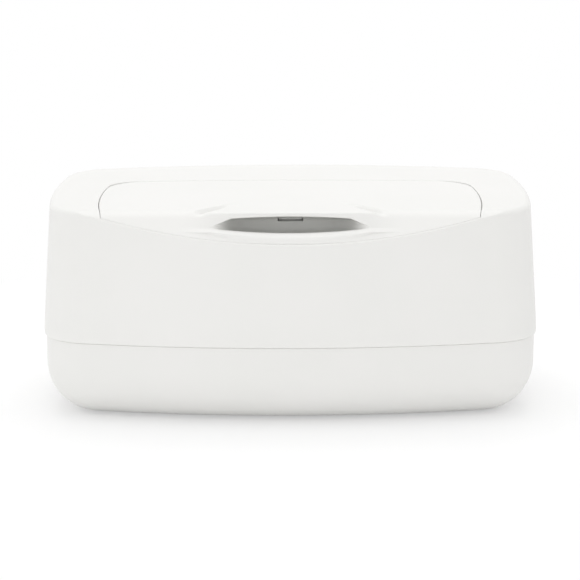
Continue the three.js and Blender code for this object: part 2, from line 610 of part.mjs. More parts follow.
// Weight plate: rim, slot with its collar, and the rails round the two bars
function buildPlate() {
  const low = FOOT_STAND + TUB_FLOOR + SEAT_GAP;
  const face = low + PLATE_THICKNESS;
  const root = low + PLATE_THICKNESS / 2;
  const plateShape = (grow) => roundedBar(
    PLATE_LENGTH + 2 * grow, PLATE_WIDTH + 2 * grow, PLATE_CORNER + grow, 0);
  const slotShape = (grow) => roundedBar(
    PLATE_SLOT_LENGTH + 2 * grow, PLATE_SLOT_WIDTH + 2 * grow, PLATE_SLOT_CORNER + grow, 0);
  const barShape = (y) => (grow) => roundedBar(
    BAR_LENGTH + 2 * grow, BAR_WIDTH + 2 * grow, BAR_CORNER + grow, y);
  const wall = (shape, inner, outer, top) => prismUp(shape(outer), root, top)
    .subtract(prismUp(shape(inner), root - 1, top + 1));
  let plate = prismUp(plateShape(0), low, face)
    .add(wall(plateShape, -PLATE_RIM_WALL, 0, low + PLATE_RIM_HEIGHT))
    .add(prismUp(slotShape(RAIL_WALL), root, low + PLATE_COLLAR_HEIGHT));
  for (const y of [-BAR_Y, BAR_Y]) {
    plate = plate.add(wall(barShape(y), SEAT_GAP, SEAT_GAP + RAIL_WALL, face + RAIL_HEIGHT));
  }
  return plate.subtract(prismUp(slotShape(0), low - 1, low + PLATE_COLLAR_HEIGHT + 1));
}

function buildBar(y) {
  const low = FOOT_STAND + TUB_FLOOR + SEAT_GAP + PLATE_THICKNESS + SEAT_GAP;
  return prismUp(roundedBar(BAR_LENGTH, BAR_WIDTH, BAR_CORNER, y), low, low + BAR_HEIGHT);
}

const whitePlastic = () => new THREE.MeshStandardMaterial({ color: 0xf2f2f0, roughness: 0.45, metalness: 0 });
const softRubber = () => new THREE.MeshStandardMaterial({ color: 0xe4e4e1, roughness: 0.8, metalness: 0 });
const brightSteel = () => new THREE.MeshStandardMaterial({ color: 0xb9bcbf, roughness: 0.35, metalness: 1 });

function addPiece(group, name, solid, material) {
  const mesh = new THREE.Mesh(toGeometry(solid), material);
  mesh.name = name;
  group.add(mesh);
}

const wipesBox = new THREE.Group();
addPiece(wipesBox, 'base_tub', buildTub(), whitePlastic());
addPiece(wipesBox, 'upper_cover', buildCover(), whitePlastic());
addPiece(wipesBox, 'lid', buildLid(), whitePlastic());
addPiece(wipesBox, 'lid_seal', buildSeal(), softRubber());
addPiece(wipesBox, 'hinge_pin_left', buildPin(-HINGE_X), brightSteel());
addPiece(wipesBox, 'hinge_pin_right', buildPin(HINGE_X), brightSteel());
addPiece(wipesBox, 'weight_plate', buildPlate(), whitePlastic());
addPiece(wipesBox, 'plate_bar_front', buildBar(-BAR_Y), brightSteel());
addPiece(wipesBox, 'plate_bar_rear', buildBar(BAR_Y), brightSteel());
addPiece(wipesBox, 'foot_front_left', buildFoot(-FOOT_X, -FOOT_Y), softRubber());
addPiece(wipesBox, 'foot_front_right', buildFoot(FOOT_X, -FOOT_Y), softRubber());
addPiece(wipesBox, 'foot_rear_left', buildFoot(-FOOT_X, FOOT_Y), softRubber());
addPiece(wipesBox, 'foot_rear_right', buildFoot(FOOT_X, FOOT_Y), softRubber());

export default wipesBox;
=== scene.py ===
"""Dresses the refillable baby wipes box: tub, lift-off cover, hinged lid, seal, weight plate and feet.

Sizes are in millimetres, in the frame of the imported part, and every finished mesh is turned to metres.
"""

import logging
import math
from dataclasses import dataclass
from enum import Enum
from typing import Callable, Optional, Sequence, Union

import bmesh
import bpy
from mathutils import Matrix, Vector


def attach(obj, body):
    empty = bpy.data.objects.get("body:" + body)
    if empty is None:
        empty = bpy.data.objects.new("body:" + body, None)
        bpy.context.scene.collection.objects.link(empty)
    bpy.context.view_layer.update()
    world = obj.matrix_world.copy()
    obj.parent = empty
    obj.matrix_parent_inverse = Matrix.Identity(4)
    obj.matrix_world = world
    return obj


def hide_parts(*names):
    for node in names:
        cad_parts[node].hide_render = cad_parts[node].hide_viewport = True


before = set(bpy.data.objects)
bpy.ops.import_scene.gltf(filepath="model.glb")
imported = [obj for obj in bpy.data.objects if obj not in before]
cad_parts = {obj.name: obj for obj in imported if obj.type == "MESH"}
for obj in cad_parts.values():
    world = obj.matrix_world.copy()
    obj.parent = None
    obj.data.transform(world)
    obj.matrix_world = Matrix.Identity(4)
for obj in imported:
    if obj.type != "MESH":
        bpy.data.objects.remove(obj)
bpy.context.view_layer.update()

LOG = logging.getLogger("wipes_box")
MM = 0.001
# How far a cutter reaches past the box, sides and end steps of a rod, lengths of what counts as one point and
# as no edge, and the weight of large faces in the normals
BEYOND = 60.0
ROD_SIDES = 48
ROD_ROLL_STEPS = 4
WELD = 0.0015
SLIVER = 0.0005
FACE_WEIGHT = 80

Flat = tuple[float, float]
Place = tuple[float, float, float]
Outline = Callable[[float], Sequence[Flat]]
Solid = bpy.types.Object
Material = bpy.types.Material
Tree = bpy.types.NodeTree
Socket = bpy.types.NodeSocket


class Cut(Enum):
    """How one solid is combined with another."""

    JOIN = "UNION"
    TAKE = "DIFFERENCE"
    MEET = "INTERSECT"


class Slot(Enum):
    """Material slots of the part's record."""

    PLASTIC = "white_polypropylene"
    SILICONE = "pale_silicone"
    RUBBER = "foot_rubber"
    STEEL = "steel"


class Body(Enum):
    """Bodies of the part that move as one."""

    BASE = "base"
    COVER = "cover"
    LID = "lid"


# Meshes


def place_mesh(name: str, points: Sequence[Place], faces: Sequence[Sequence[int]]) -> Solid:
    """Makes a mesh object from points in millimetres.

    Args:
        name: Name of the object.
        points: The vertices.
        faces: Vertex numbers of each face, outward.

    Returns:
        The object, linked to the scene.
    """
    mesh = bpy.data.meshes.new(name)
    mesh.from_pydata([Vector(point) for point in points], [], [list(face) for face in faces])
    mesh.update()
    made = bpy.data.objects.new(name, mesh)
    bpy.context.scene.collection.objects.link(made)
    return made


def loft(rings: Sequence[Sequence[Place]], name: str = "loft") -> Solid:
    """Skins a closed solid through rings of equal point count, with a flat face on each end.

    Args:
        rings: Rings that turn counter-clockwise about the way the loft runs.
        name: Name of the object.

    Returns:
        The closed solid.
    """
    count = len(rings[0])
    faces: list[list[int]] = [list(range(count))[::-1]]
    for level in range(len(rings) - 1):
        for i in range(count):
            here, after = level * count + i, level * count + (i + 1) % count
            faces.append([here, after, after + count, here + count])
    faces.append([(len(rings) - 1) * count + i for i in range(count)])
    return place_mesh(name, [point for ring in rings for point in ring], faces)


def stack(outline: Outline, profile: Sequence[Flat], name: str = "stack") -> Solid:
    """Skins a closed solid through level outlines.

    Args:
        outline: Gives the outline for an inset.
        profile: (inset, height) pairs from the bottom up.
        name: Name of the object.

    Returns:
        The closed solid.
    """
    return loft([[(x, y, z) for x, y in outline(inset)] for inset, z in profile], name)


def prism_up(outline: Sequence[Flat], low: float, high: float) -> Solid:
    """Pushes an outline seen from above from one height to another."""
    return stack(lambda _: outline, [(0.0, low), (0.0, high)])


def prism_across(outline: Sequence[Flat], start: float, end: float) -> Solid:
    """Pushes an outline of (y, z) points along X."""
    return loft([[(x, y, z) for y, z in outline] for x in (start, end)])


def circle(radius: float, sides: int, centre: Flat = (0.0, 0.0)) -> list[Flat]:
    """Points round a circle."""
    turns = [2 * math.pi * k / sides for k in range(sides)]
    return [(centre[0] + radius * math.cos(a), centre[1] + radius * math.sin(a)) for a in turns]


def rod_across(radius: float, start: float, end: float, y: float, z: float, soft: float = 0.0) -> Solid:
    """Makes a round bar along X.

    Args:
        radius: Radius of the bar.
        start: Lower end in X.
        end: Upper end in X.
        y: Place of its axis in Y.
        z: Height of its axis.
        soft: Radius of the rounding at both ends.

    Returns:
        The closed bar.
    """
    stations = [(start, radius), (end, radius)]
    if soft:
        turns = [math.pi / 2 * i / ROD_ROLL_STEPS for i in range(ROD_ROLL_STEPS, -1, -1)]
        rise = [(start + soft * (1 - math.sin(a)), radius - soft * (1 - math.cos(a))) for a in turns]
        stations = rise + [(start + end - x, r) for x, r in rise[::-1]]
    return loft([[(x, v, w) for v, w in circle(r, ROD_SIDES, (y, z))] for x, r in stations], "rod")


def settle(piece: Solid) -> None:
    """Turns an object and its modifiers to a plain mesh."""
    graph = bpy.context.evaluated_depsgraph_get()
    mesh = bpy.data.meshes.new_from_object(piece.evaluated_get(graph), depsgraph=graph)
    piece.modifiers.clear()
    worn = piece.data
    piece.data = mesh
    bpy.data.meshes.remove(worn)


def combine(base: Solid, other: Solid, cut: Cut) -> Solid:
    """Combines two closed solids and keeps the result in the first.

    Args:
        base: The solid that changes.
        other: The solid that is used up.
        cut: Join, take away or meet.

    Returns:
        The first object.
    """
    modifier = base.modifiers.new("combine", "BOOLEAN")
    modifier.operation = cut.value
    modifier.solver = "MANIFOLD"
    modifier.object = other
    settle(base)
    spent = other.data
    bpy.data.objects.remove(other)
    bpy.data.meshes.remove(spent)
    if not base.data.polygons:
        raise ValueError("a cut left nothing of " + base.name)
    return base


def join(base: Solid, *others: Solid) -> Solid:
    """Adds solids to a solid."""
    for other in others:
        combine(base, other, Cut.JOIN)
    return base


def take(base: Solid, *others: Solid) -> Solid:
    """Takes solids away from a solid."""
    for other in others:
        combine(base, other, Cut.TAKE)
    return base


def meet(base: Solid, *others: Solid) -> Solid:
    """Keeps what a solid shares with others."""
    for other in others:
        combine(base, other, Cut.MEET)
    return base


def finish_mesh(piece: Solid, name: str, material: Material, body: Body,
                nodes: Sequence[str], crease: float = 32.0) -> Solid:
    """Cleans, smooths, dresses and registers a finished piece.

    Args:
        piece: The piece, in millimetres.
        name: Its final name.
        material: Its finish.
        body: The body that it rides on.
        nodes: CAD nodes that it stands for.
        crease: Angle in degrees from which an edge stays sharp.

    Returns:
        The piece, in metres.
    """
    shape = bmesh.new()
    shape.from_mesh(piece.data)
    bmesh.ops.remove_doubles(shape, verts=shape.verts, dist=WELD)
    bmesh.ops.dissolve_degenerate(shape, edges=shape.edges, dist=SLIVER)
    bmesh.ops.transform(shape, matrix=Matrix.Scale(MM, 4), verts=shape.verts)
    shape.to_mesh(piece.data)
    shape.free()
    piece.data.shade_smooth()
    piece.data.set_sharp_from_angle(angle=math.radians(crease))
    piece.data.materials.clear()
    piece.data.materials.append(material)
    weigh = piece.modifiers.new("weigh", "WEIGHTED_NORMAL")
    weigh.keep_sharp = True
    weigh.weight = FACE_WEIGHT
    settle(piece)
    piece.name = name
    piece.data.name = name
    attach(piece, body.value)
    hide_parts(*nodes)
    LOG.info("%s: %d faces on %s", name, len(piece.data.polygons), body.value)
    return piece


# Outlines


def arc(centre: Flat, radius: float, start: float, end: float, steps: int) -> list[Flat]:
    """Points on an arc, with both ends."""
    turns = [start + (end - start) * i / steps for i in range(steps + 1)]
    return [(centre[0] + radius * math.cos(a), centre[1] + radius * math.sin(a)) for a in turns]


def touching_centre(first: Flat, first_reach: float, second: Flat, second_reach: float) -> Flat:
    """Centre of the arc that touches two larger arcs from inside, on their +X +Y side.

    Args:
        first: Centre of the first arc.
        first_reach: Distance of the answer from it.
        second: Centre of the second arc.
        second_reach: Distance of the answer from it.

    Returns:
        The centre.
    """
    gap = Vector(second) - Vector(first)
    span = gap.length
    gap.normalize()
    run = (span * span + first_reach * first_reach - second_reach * second_reach) / (2 * span)
    rise = math.sqrt(first_reach * first_reach - run * run)
    foot = Vector(first) + gap * run
    side = Vector((-gap.y, gap.x)) * rise
    best = max((foot + side, foot - side), key=lambda point: point.x + point.y)
    return (best.x, best.y)


def bowed_corner(end: Flat, end_radius: float, side: Flat, side_radius: float, corner: float, inset: float,
                 start: float, steps: tuple[int, int, int]) -> list[Flat]:
    """Outline from a bowed side, round a tangent corner, to the middle of a bowed end.

    Args:
        end: Centre of the end's arc.
        end_radius: Radius of the end.
        side: Centre of the side's arc.
        side_radius: Radius of the side.
        corner: Radius of the corner.
        inset: How far the outline is drawn in.
        start: Angle where the side starts.
        steps: Steps of the side, the corner and the end.

    Returns:
        The points, counter-clockwise.
    """
    centre = touching_centre(end, end_radius - corner, side, side_radius - corner)
    side_turn = math.atan2(centre[1] - side[1], centre[0] - side[0])
    end_turn = math.atan2(centre[1] - end[1], centre[0] - end[0])
    return (arc(side, side_radius - inset, start, side_turn, steps[0])[:-1]
            + arc(centre, corner - inset, side_turn, end_turn, steps[1])[:-1]
            + arc(end, end_radius - inset, end_turn, math.pi / 2, steps[2]))


def rounded(points: Sequence[Flat], radii: Sequence[float], steps: int = 6) -> list[Flat]:
    """Rounds the inner corners of an open line.

    Args:
        points: Corners of the line.
        radii: How far the rounding reaches along each side of each corner; 0 keeps it sharp.
        steps: Steps of each rounded corner.

    Returns:
        The rounded line, with the same number of points for the same number of corners.
    """
    line = [points[0]]
    for i in range(1, len(points) - 1):
        corner, before, after = (Vector(points[k]) for k in (i, i - 1, i + 1))
        back, ahead = before - corner, after - corner
        reach = min(radii[i], back.length * 0.48, ahead.length * 0.48)
        start = corner + back.normalized() * reach if back.length > 1e-6 else corner
        end = corner + ahead.normalized() * reach if ahead.length > 1e-6 else corner
        for k in range(steps + 1):
            t = k / steps
            spot = start * (1 - t) ** 2 + corner * (2 * t * (1 - t)) + end * t ** 2
            line.append((spot.x, spot.y))
    line.append(points[-1])
    return line


def rounded_bar(length: float, width: float, radius: float, y: float = 0.0, steps: int = 12) -> list[Flat]:
    """Outline of a rounded rectangle centred on (0, y)."""
    reach_x, reach_y = length / 2 - radius, width / 2 - radius
    outline: list[Flat] = []
    for k, (sx, sy) in enumerate(((1, 1), (-1, 1), (-1, -1), (1, -1))):
        centre = (sx * reach_x, y + sy * reach_y)
        outline += arc(centre, radius, k * math.pi / 2, (k + 1) * math.pi / 2, steps)
    return outline


def quarter_roll(inset: float, height: float, radius: float, steps: int = 8) -> list[Flat]:
    """Profile of a quarter roll that ends a wall, as (inset, height)."""
    turns = [math.pi / 2 * i / steps for i in range(steps + 1)]
    return [(inset + radius * (1 - math.cos(a)), height - radius * (1 - math.sin(a))) for a in turns]


def upright_ring(outline: Outline, inner: float, outer: float, low: float, high: float, soft: float = 0.0,
                 steps: int = 4) -> Solid:
    """Makes an upright ring between two growths of an outline.

    Args:
        outline: Gives the outline for a growth.
        inner: Growth at the ring's inner face.
        outer: Growth at the ring's outer face.
        low: Foot of the ring.
        high: Top of the ring.
        soft: Rounding of the top edges.
        steps: Steps of the rounding.

    Returns:
        The closed ring.
    """
    roll = quarter_roll(0, high, soft, steps) if soft else []
    hull = [(0.0, low)] + (roll or [(0.0, high)])
    core = [(0.0, low - 1)] + [(-inset, z) for inset, z in roll] + [(-soft, high + 1)]
    return take(stack(lambda inset: outline(outer - inset), hull),
                stack(lambda inset: outline(inner - inset), core))


def smooth_step(value: float, low: float, high: float) -> float:
    """Smooth rise from 0 at low to 1 at high."""
    t = min(1.0, max(0.0, (value - low) / (high - low)))
    return t * t * (3 - 2 * t)


def between(start: float, end: float, share: float) -> float:
    """Value at a share of the way from start to end."""
    return start + (end - start) * share


def bent(pairs: Sequence[Flat], at: float) -> float:
    """Value of a line through pairs, which bends softly at each of them."""
    if at <= pairs[0][0]:
        return pairs[0][1]
    for (x0, y0), (x1, y1) in zip(pairs, pairs[1:]):
        if at <= x1:
            return between(y0, y1, (at - x0) / (x1 - x0))
    return pairs[-1][1]


def grown_bar(length: float, width: float, radius: float, grow: float, y: float = 0.0) -> list[Flat]:
    """Outline of a rounded rectangle that is grown by a distance."""
    return rounded_bar(length + 2 * grow, width + 2 * grow, radius + grow, y)


# The shared form


@dataclass(frozen=True)
class BoxForm:
    """Outer form of the whole box, shared by the tub, the cover and the lid."""

    width: float = 245.0
    depth: float = 141.0
    rear_height: float = 107.8
    slope: float = math.radians(2.8)
    front_bow: float = 459.0
    side_bow: float = 261.0
    corner: float = 27.5
    split: float = 39.0
    split_gap: float = 0.22
    seat_gap: float = 0.3
    draft: float = 4.5
    facet_lean: float = math.radians(40.9)
    facet_line: float = -54.3
    facet_soft: float = 4.5
    soft_steps: int = 8
    corner_steps: int = 22
    bow_steps: int = 22

    def roof(self, y: float) -> float:
        """Height of the sloping roof at a depth."""
        return self.rear_height - math.tan(self.slope) * (self.depth / 2 - self.draft - y)

    def facet(self, z: float) -> float:
        """Depth of the leaning facet at a height."""
        return self.facet_line - math.tan(self.facet_lean) * (self.roof(self.facet_line) - z)

    def plan(self, inset: float) -> list[Flat]:
        """Outline from above: bowed front, back and sides with round corners, all tangent."""
        quarter = bowed_corner((0.0, self.depth / 2 - self.front_bow), self.front_bow,
                               (self.width / 2 - self.side_bow, 0.0), self.side_bow, self.corner, inset, 0,
                               (self.bow_steps // 2, self.corner_steps, self.bow_steps))
        rear = quarter + [(-x, y) for x, y in quarter[:-1]][::-1]
        return rear + [(x, -y) for x, y in rear[1:-1]][::-1]

    def sweep(self, profile: Sequence[Flat], name: str = "sweep") -> Solid:
        """Sweeps the outline up a profile.

        Args:
            profile: (inset, height) pairs. Above the split the walls draw in and lean with the roof.
            name: Name of the object.

        Returns:
            The closed solid.
        """
        rings = []
        for inset, height in profile:
            rise = max(0.0, (height - self.split) / (self.rear_height - self.split))
            rings.append([(x, y, height + (self.roof(y) - self.rear_height) * rise)
                          for x, y in self.plan(inset + self.draft * rise)])
        return loft(rings, name)

    def under_skin(self, depth: float, soft: float = 0.0) -> Solid:
        """Everything under the roof and behind the leaning facet, drawn in by a depth."""
        roof_drop = depth / math.cos(self.slope)
        rise = 1 / math.tan(self.facet_lean)
        facet_drop = depth * math.hypot(1, rise)
        edge = self.facet_line + (facet_drop - roof_drop) / (rise - math.tan(self.slope))
        rear, low = self.depth / 2 + BEYOND, -self.depth / 2 - BEYOND
        facet_low = self.roof(self.facet_line) + (low - self.facet_line) * rise - facet_drop
        line = rounded([(low, facet_low), (edge, self.roof(edge) - roof_drop),
                        (rear, self.roof(rear) - roof_drop)],
                       [0, soft, 0], self.soft_steps)
        outline = line[::-1] + [(rear, facet_low)]
        half = (self.width + BEYOND) / 2
        return prism_across(outline, -half, half)

    def behind_front(self, inset: float) -> Solid:
        """Inside of the walls, drawn in by a distance and open upwards."""
        return self.sweep([(inset, self.split), (inset, self.rear_height + BEYOND)])


@dataclass(frozen=True)
class MouthForm:
    """Opening in the roof that takes the lid; it runs out past the front of the box."""

    box: BoxForm
    half_width: float = 92.8
    widest: float = -20.0
    side_radius: float = 200.0
    rear: float = 21.5
    rear_radius: float = 950.0
    corner: float = 15.0
    reach: float = 51.7
    bow_steps: int = 20
    corner_steps: int = 16

    def plan(self, inset: float, ease: float = 0.0) -> list[Flat]:
        """Outline from above, drawn in by a distance and with its rear corners eased."""
        start = -math.asin(self.reach / self.side_radius)
        half = bowed_corner((0.0, self.rear - self.rear_radius), self.rear_radius,
                            (self.half_width - self.side_radius, self.widest), self.side_radius,
                            self.corner + ease, inset, start,
                            (self.bow_steps, self.corner_steps, self.bow_steps // 2))
        return half + [(-x, y) for x, y in half[:-1]][::-1]

    def prism(self, inset: float, low: float, high: float, ease: float = 0.0) -> Solid:
        """The outline pushed from one height to another."""
        return prism_up(self.plan(inset, ease), low, high)

    def under_roof(self, profile: Sequence[Flat], low: float, ease: float = 0.0) -> Solid:
        """The outline swept from a level floor up a profile that follows the roof.

        Args:
            profile: (inset, height over the roof) pairs.
            low: Height of the level floor.
            ease: How far the rear corners are eased.

        Returns:
            The closed solid.
        """
        rings = [[(x, y, low) for x, y in self.plan(profile[0][0], ease)]]
        for inset, over in profile:
            rings.append([(x, y, self.box.roof(y) + over) for x, y in self.plan(inset, ease)])
        return loft(rings)


@dataclass(frozen=True)
class OpeningForm:
    """Dispensing opening in the deck, which the rim and the seal follow."""

    length: float = 120.0
    width: float = 32.0
    y: float = -21.0
    corner: float = 12.0
    rim_wall: float = 2.0
    rim_height: float = 9.0
    rim_soft: float = 0.8

    def outline(self, grow: float) -> list[Flat]:
        """Outline of the opening, grown by a distance."""
        return rounded_bar(self.length + 2 * grow, self.width + 2 * grow, self.corner + grow, self.y, 14)

    def ring(self, inner: float, outer: float, low: float, high: float, soft: float = 0.0) -> Solid:
        """Upright ring round the opening, between two distances outside its edge."""
        return upright_ring(self.outline, inner, outer, low, high, soft, 5)


@dataclass(frozen=True)
class HingeForm:
    """Two short pins that carry the lid between brackets of the cover and knuckles of the lid."""

    box: BoxForm
    y: float = 2.0
    sink: float = 4.47
    xs: tuple[float, float] = (-74.0, 74.0)
    pin: float = 1.5
    clearance: float = 0.1
    bracket: float = 7.0
    boss: float = 2.5
    foot_front: float = 10.5
    foot_rear: float = 5.0
    knuckle: float = 3.0
    knuckle_width: float = 4.0
    knuckle_gap: float = 0.5

    @property
    def z(self) -> float:
        """Height of the axis."""
        return self.box.roof(self.y) - self.sink

    @property
    def reach(self) -> float:
        """Distance from the middle of a pin to the outside of its knuckles."""
        return self.bracket / 2 + self.knuckle_gap + self.knuckle_width


# Finishes


def linear(shade: str) -> tuple[float, float, float, float]:
    """Turns an sRGB hex colour to linear RGBA."""
    parts = [int(shade[i:i + 2], 16) / 255 for i in (1, 3, 5)]
    red, green, blue = (c / 12.92 if c <= 0.04045 else ((c + 0.055) / 1.055) ** 2.4 for c in parts)
    return (red, green, blue, 1.0)


def add_node(tree: Tree, kind: str, settings: Optional[dict] = None,
             links: Optional[dict] = None) -> bpy.types.Node:
    """Adds a node with its settings and links.

    Args:
        tree: The node tree.
        kind: The node's type.
        settings: Attributes by name, or socket values where the name is a socket's.
        links: Output sockets or values by input name or number.

    Returns:
        The node.
    """
    node = tree.nodes.new(kind)
    for name, value in (settings or {}).items():
        if hasattr(node, name):
            setattr(node, name, value)
        else:
            node.inputs[name].default_value = value
    for name, source in (links or {}).items():
        if isinstance(source, Socket):
            tree.links.new(source, node.inputs[name])
        else:
            node.inputs[name].default_value = source
    return node


def maths(tree: Tree, operation: str, *values: Union[float, Socket]) -> Socket:
    """Adds one sum of sockets and numbers."""
    return add_node(tree, "ShaderNodeMath", {"operation": operation}, dict(enumerate(values))).outputs[0]


def ranged(tree: Tree, value: Socket, before: Flat, after: tuple, kind: str = "LINEAR") -> Socket:
    """Maps a value from one range to another."""
    return add_node(tree, "ShaderNodeMapRange", {"interpolation_type": kind}, {
        "Value": value, "From Min": before[0], "From Max": before[1], "To Min": after[0],
        "To Max": after[1]}).outputs["Result"]


def fresh_material(name: str) -> tuple[Material, Tree, Socket]:
    """Starts a material and gives its tree and its Object coordinates."""
    material = bpy.data.materials.new(name)
    material.use_nodes = True
    material.node_tree.nodes.clear()
    coordinates = add_node(material.node_tree, "ShaderNodeTexCoord")
    return material, material.node_tree, coordinates.outputs["Object"]


def noise(tree: Tree, spot: Socket, size_mm: float, detail: float,
          roughness: float = 0.5) -> Socket:
    """Adds noise whose patches have a real size."""
    made = add_node(tree, "ShaderNodeTexNoise", {"noise_dimensions": "3D"}, {
        "Vector": spot, "Scale": 1 / (size_mm * MM), "Detail": detail, "Roughness": roughness})
    return made.outputs["Fac"]


def blend(tree: Tree, share: Socket,
          first: Union[str, Socket], second: str) -> Socket:
    """Mixes two shades by a share."""
    mix = add_node(tree, "ShaderNodeMix", {"data_type": "RGBA"}, {
        "Factor": share, 6: linear(first) if isinstance(first, str) else first, 7: linear(second)})
    return mix.outputs[2]


def end_material(tree: Tree, height: Socket, strength: float, depth_mm: float,
                 values: dict) -> None:
    """Ends a material with a principled surface that is bumped by a height.

    Args:
        tree: The material's tree.
        height: The height, from 0 to 1.
        strength: Share of the bump.
        depth_mm: Depth of the bump.
        values: The surface's other inputs by name.
    """
    bump = add_node(tree, "ShaderNodeBump", links={
        "Height": height, "Strength": strength, "Distance": depth_mm * MM})
    shader = add_node(tree, "ShaderNodeBsdfPrincipled", links={"Normal": bump.outputs["Normal"], **values})
    add_node(tree, "ShaderNodeOutputMaterial", links={"Surface": shader.outputs["BSDF"]})


@dataclass(frozen=True)
class MouldedPolypropylene:
    """Injection-moulded white polypropylene from a finely eroded steel mould.

    To the eye it is a clean, faintly warm white with a soft satin sheen: broad, weak highlights, a grain
    that is only felt at the edge of a reflection, and a trace of flow mottling in the gloss.
    """

    name: str = "moulded polypropylene"
    shade: str = "#edecea"
    shaded_shade: str = "#e9e9e6"
    roughness: float = 0.42
    roughness_spread: float = 0.05
    grain_mm: float = 0.45
    grain_depth_mm: float = 0.006
    mottle_mm: float = 38.0
    # Painted shade inside the finger pocket: its colour, and the box in the part's frame where it is laid
    painted_pocket_shade: Optional[str] = None
    pocket_shade_start_mm: float = -60.5
    pocket_shade_deep_mm: float = -53.0
    pocket_shade_back_mm: float = -46.2
    pocket_shade_low_mm: float = 89.3
    pocket_shade_high_mm: float = 99.5
    pocket_shade_half_mm: float = 36.0
    pocket_shade_fade_mm: float = 3.0

    def _paint_pocket_shade(self, tree: Tree, spot: Socket,
              tone: Socket) -> Socket:
        """Greys the inside of the finger pocket with painted shade, which stands in for the shadow deep in the
        pocket.

        Args:
            tree: The material's tree.
            spot: Object coordinates.
            tone: Colour of the plastic without the painted shade.

        Returns:
            The colour with the painted pocket shade.
        """
        x, y, z = add_node(tree, "ShaderNodeSeparateXYZ", links={0: spot}).outputs
        across = maths(tree, "ABSOLUTE", x)
        mask = ranged(tree, y, (self.pocket_shade_start_mm * MM, self.pocket_shade_deep_mm * MM), (0.0, 1.0), "SMOOTHSTEP")
        for part in (
                maths(tree, "LESS_THAN", y, self.pocket_shade_back_mm * MM),
                maths(tree, "GREATER_THAN", z, self.pocket_shade_low_mm * MM),
                maths(tree, "LESS_THAN", z, self.pocket_shade_high_mm * MM),
                ranged(tree, across, (self.pocket_shade_half_mm * MM, (self.pocket_shade_half_mm + self.pocket_shade_fade_mm) * MM),
                       (1.0, 0.0))):
            mask = maths(tree, "MULTIPLY", mask, part)
        return blend(tree, mask, tone, self.painted_pocket_shade)

    def make(self) -> Material:
        """Builds the material."""
        material, tree, spot = fresh_material(self.name)
        # Flow mottling a few centimetres across, far weaker than a shadow
        colour = blend(tree, noise(tree, spot, self.mottle_mm, 2.0), self.shaded_shade, self.shade)
        # Painted shade: the inside of the lid's finger pocket is greyed where the pocket lies in shadow
        if self.painted_pocket_shade:
            colour = self._paint_pocket_shade(tree, spot, colour)
        # Eroded grain: about 0.1 mm on the real part, drawn four times as coarse so that it shows
        grain = noise(tree, spot, self.grain_mm, 3.0, 0.6)
        gloss = ranged(tree, grain, (0.3, 0.7), (self.roughness - self.roughness_spread,
                                                 self.roughness + self.roughness_spread))
        end_material(tree, grain, 0.25, self.grain_depth_mm, {
            "Base Color": colour, "Roughness": gloss, "IOR": 1.49, "Specular IOR Level": 0.4})
        return material


@dataclass(frozen=True)
class MouldedRubber:
    """Soft moulded rubber or silicone: matt, with a dusty bloom."""

    name: str
    shade: str
    bloom_shade: str
    roughness: float = 0.62
    bloom_mm: float = 4.0
    grain_mm: float = 0.5
    grain_depth_mm: float = 0.02

    def make(self) -> Material:
        """Builds the material."""
        material, tree, spot = fresh_material(self.name)
        # Bloom: pale dust patches a few millimetres across
        colour = blend(tree, noise(tree, spot, self.bloom_mm, 3.0), self.shade, self.bloom_shade)
        end_material(tree, noise(tree, spot, self.grain_mm, 2.0), 0.4, self.grain_depth_mm, {
            "Base Color": colour, "Roughness": self.roughness, "IOR": 1.42})
        return material


@dataclass(frozen=True)
class DrawnSteel:
    """Cold-drawn bright steel: a cool grey metal with fine draw lines along its length.

    The lines run along X, so the highlight spreads across the bar and stays narrow along it.
    """

    name: str = "drawn steel"
    shade: str = "#b4b7ba"
    worn_shade: str = "#9ea1a4"
    roughness: float = 0.3
    line_mm: float = 0.3
    line_length_mm: float = 40.0
    line_depth_mm: float = 0.012

    def make(self) -> Material:
        """Builds the material."""
        material, tree, spot = fresh_material(self.name)
        stretch = add_node(tree, "ShaderNodeMapping", {"vector_type": "POINT"}, {
            "Vector": spot, "Scale": (self.line_mm / self.line_length_mm, 1.0, 1.0)})
        # Draw lines: a tenth of a millimetre apart on the real bar, drawn coarser so that they show
        lines = noise(tree, stretch.outputs["Vector"], self.line_mm, 3.0)
        gloss = ranged(tree, lines, (0.0, 1.0), (self.roughness - 0.08, self.roughness + 0.12))
        end_material(tree, lines, 0.35, self.line_depth_mm, {
            "Base Color": blend(tree, lines, self.worn_shade, self.shade), "Roughness": gloss,
            "Metallic": 1.0})
        return material


# Geometry Nodes


def start_tree(name: str, inputs: dict[str, str], output: str) -> tuple[Tree, bpy.types.Node]:
    """Starts a Geometry Nodes tree.

    Args:
        name: Name of the tree.
        inputs: Kinds of the inputs by their names, without NodeSocket.
        output: Name of the geometry that comes out.

    Returns:
        The tree and its input node.
    """
    tree = bpy.data.node_groups.new(name, "GeometryNodeTree")
    for label, kind in inputs.items():
        tree.interface.new_socket(label, in_out="INPUT", socket_type="NodeSocket" + kind)
    tree.interface.new_socket(output, in_out="OUTPUT", socket_type="NodeSocketGeometry")
    return tree, add_node(tree, "NodeGroupInput")


def end_tree(tree: Tree, geometry: Socket, finish: Socket,
             output: str) -> None:
    """Ends a tree with real geometry that wears its finish."""
    real = add_node(tree, "GeometryNodeRealizeInstances", links={"Geometry": geometry})
    dressed = add_node(tree, "GeometryNodeSetMaterial", links={
        "Geometry": real.outputs["Geometry"], "Material": finish})
    add_node(tree, "NodeGroupOutput", links={output: dressed.outputs["Geometry"]})


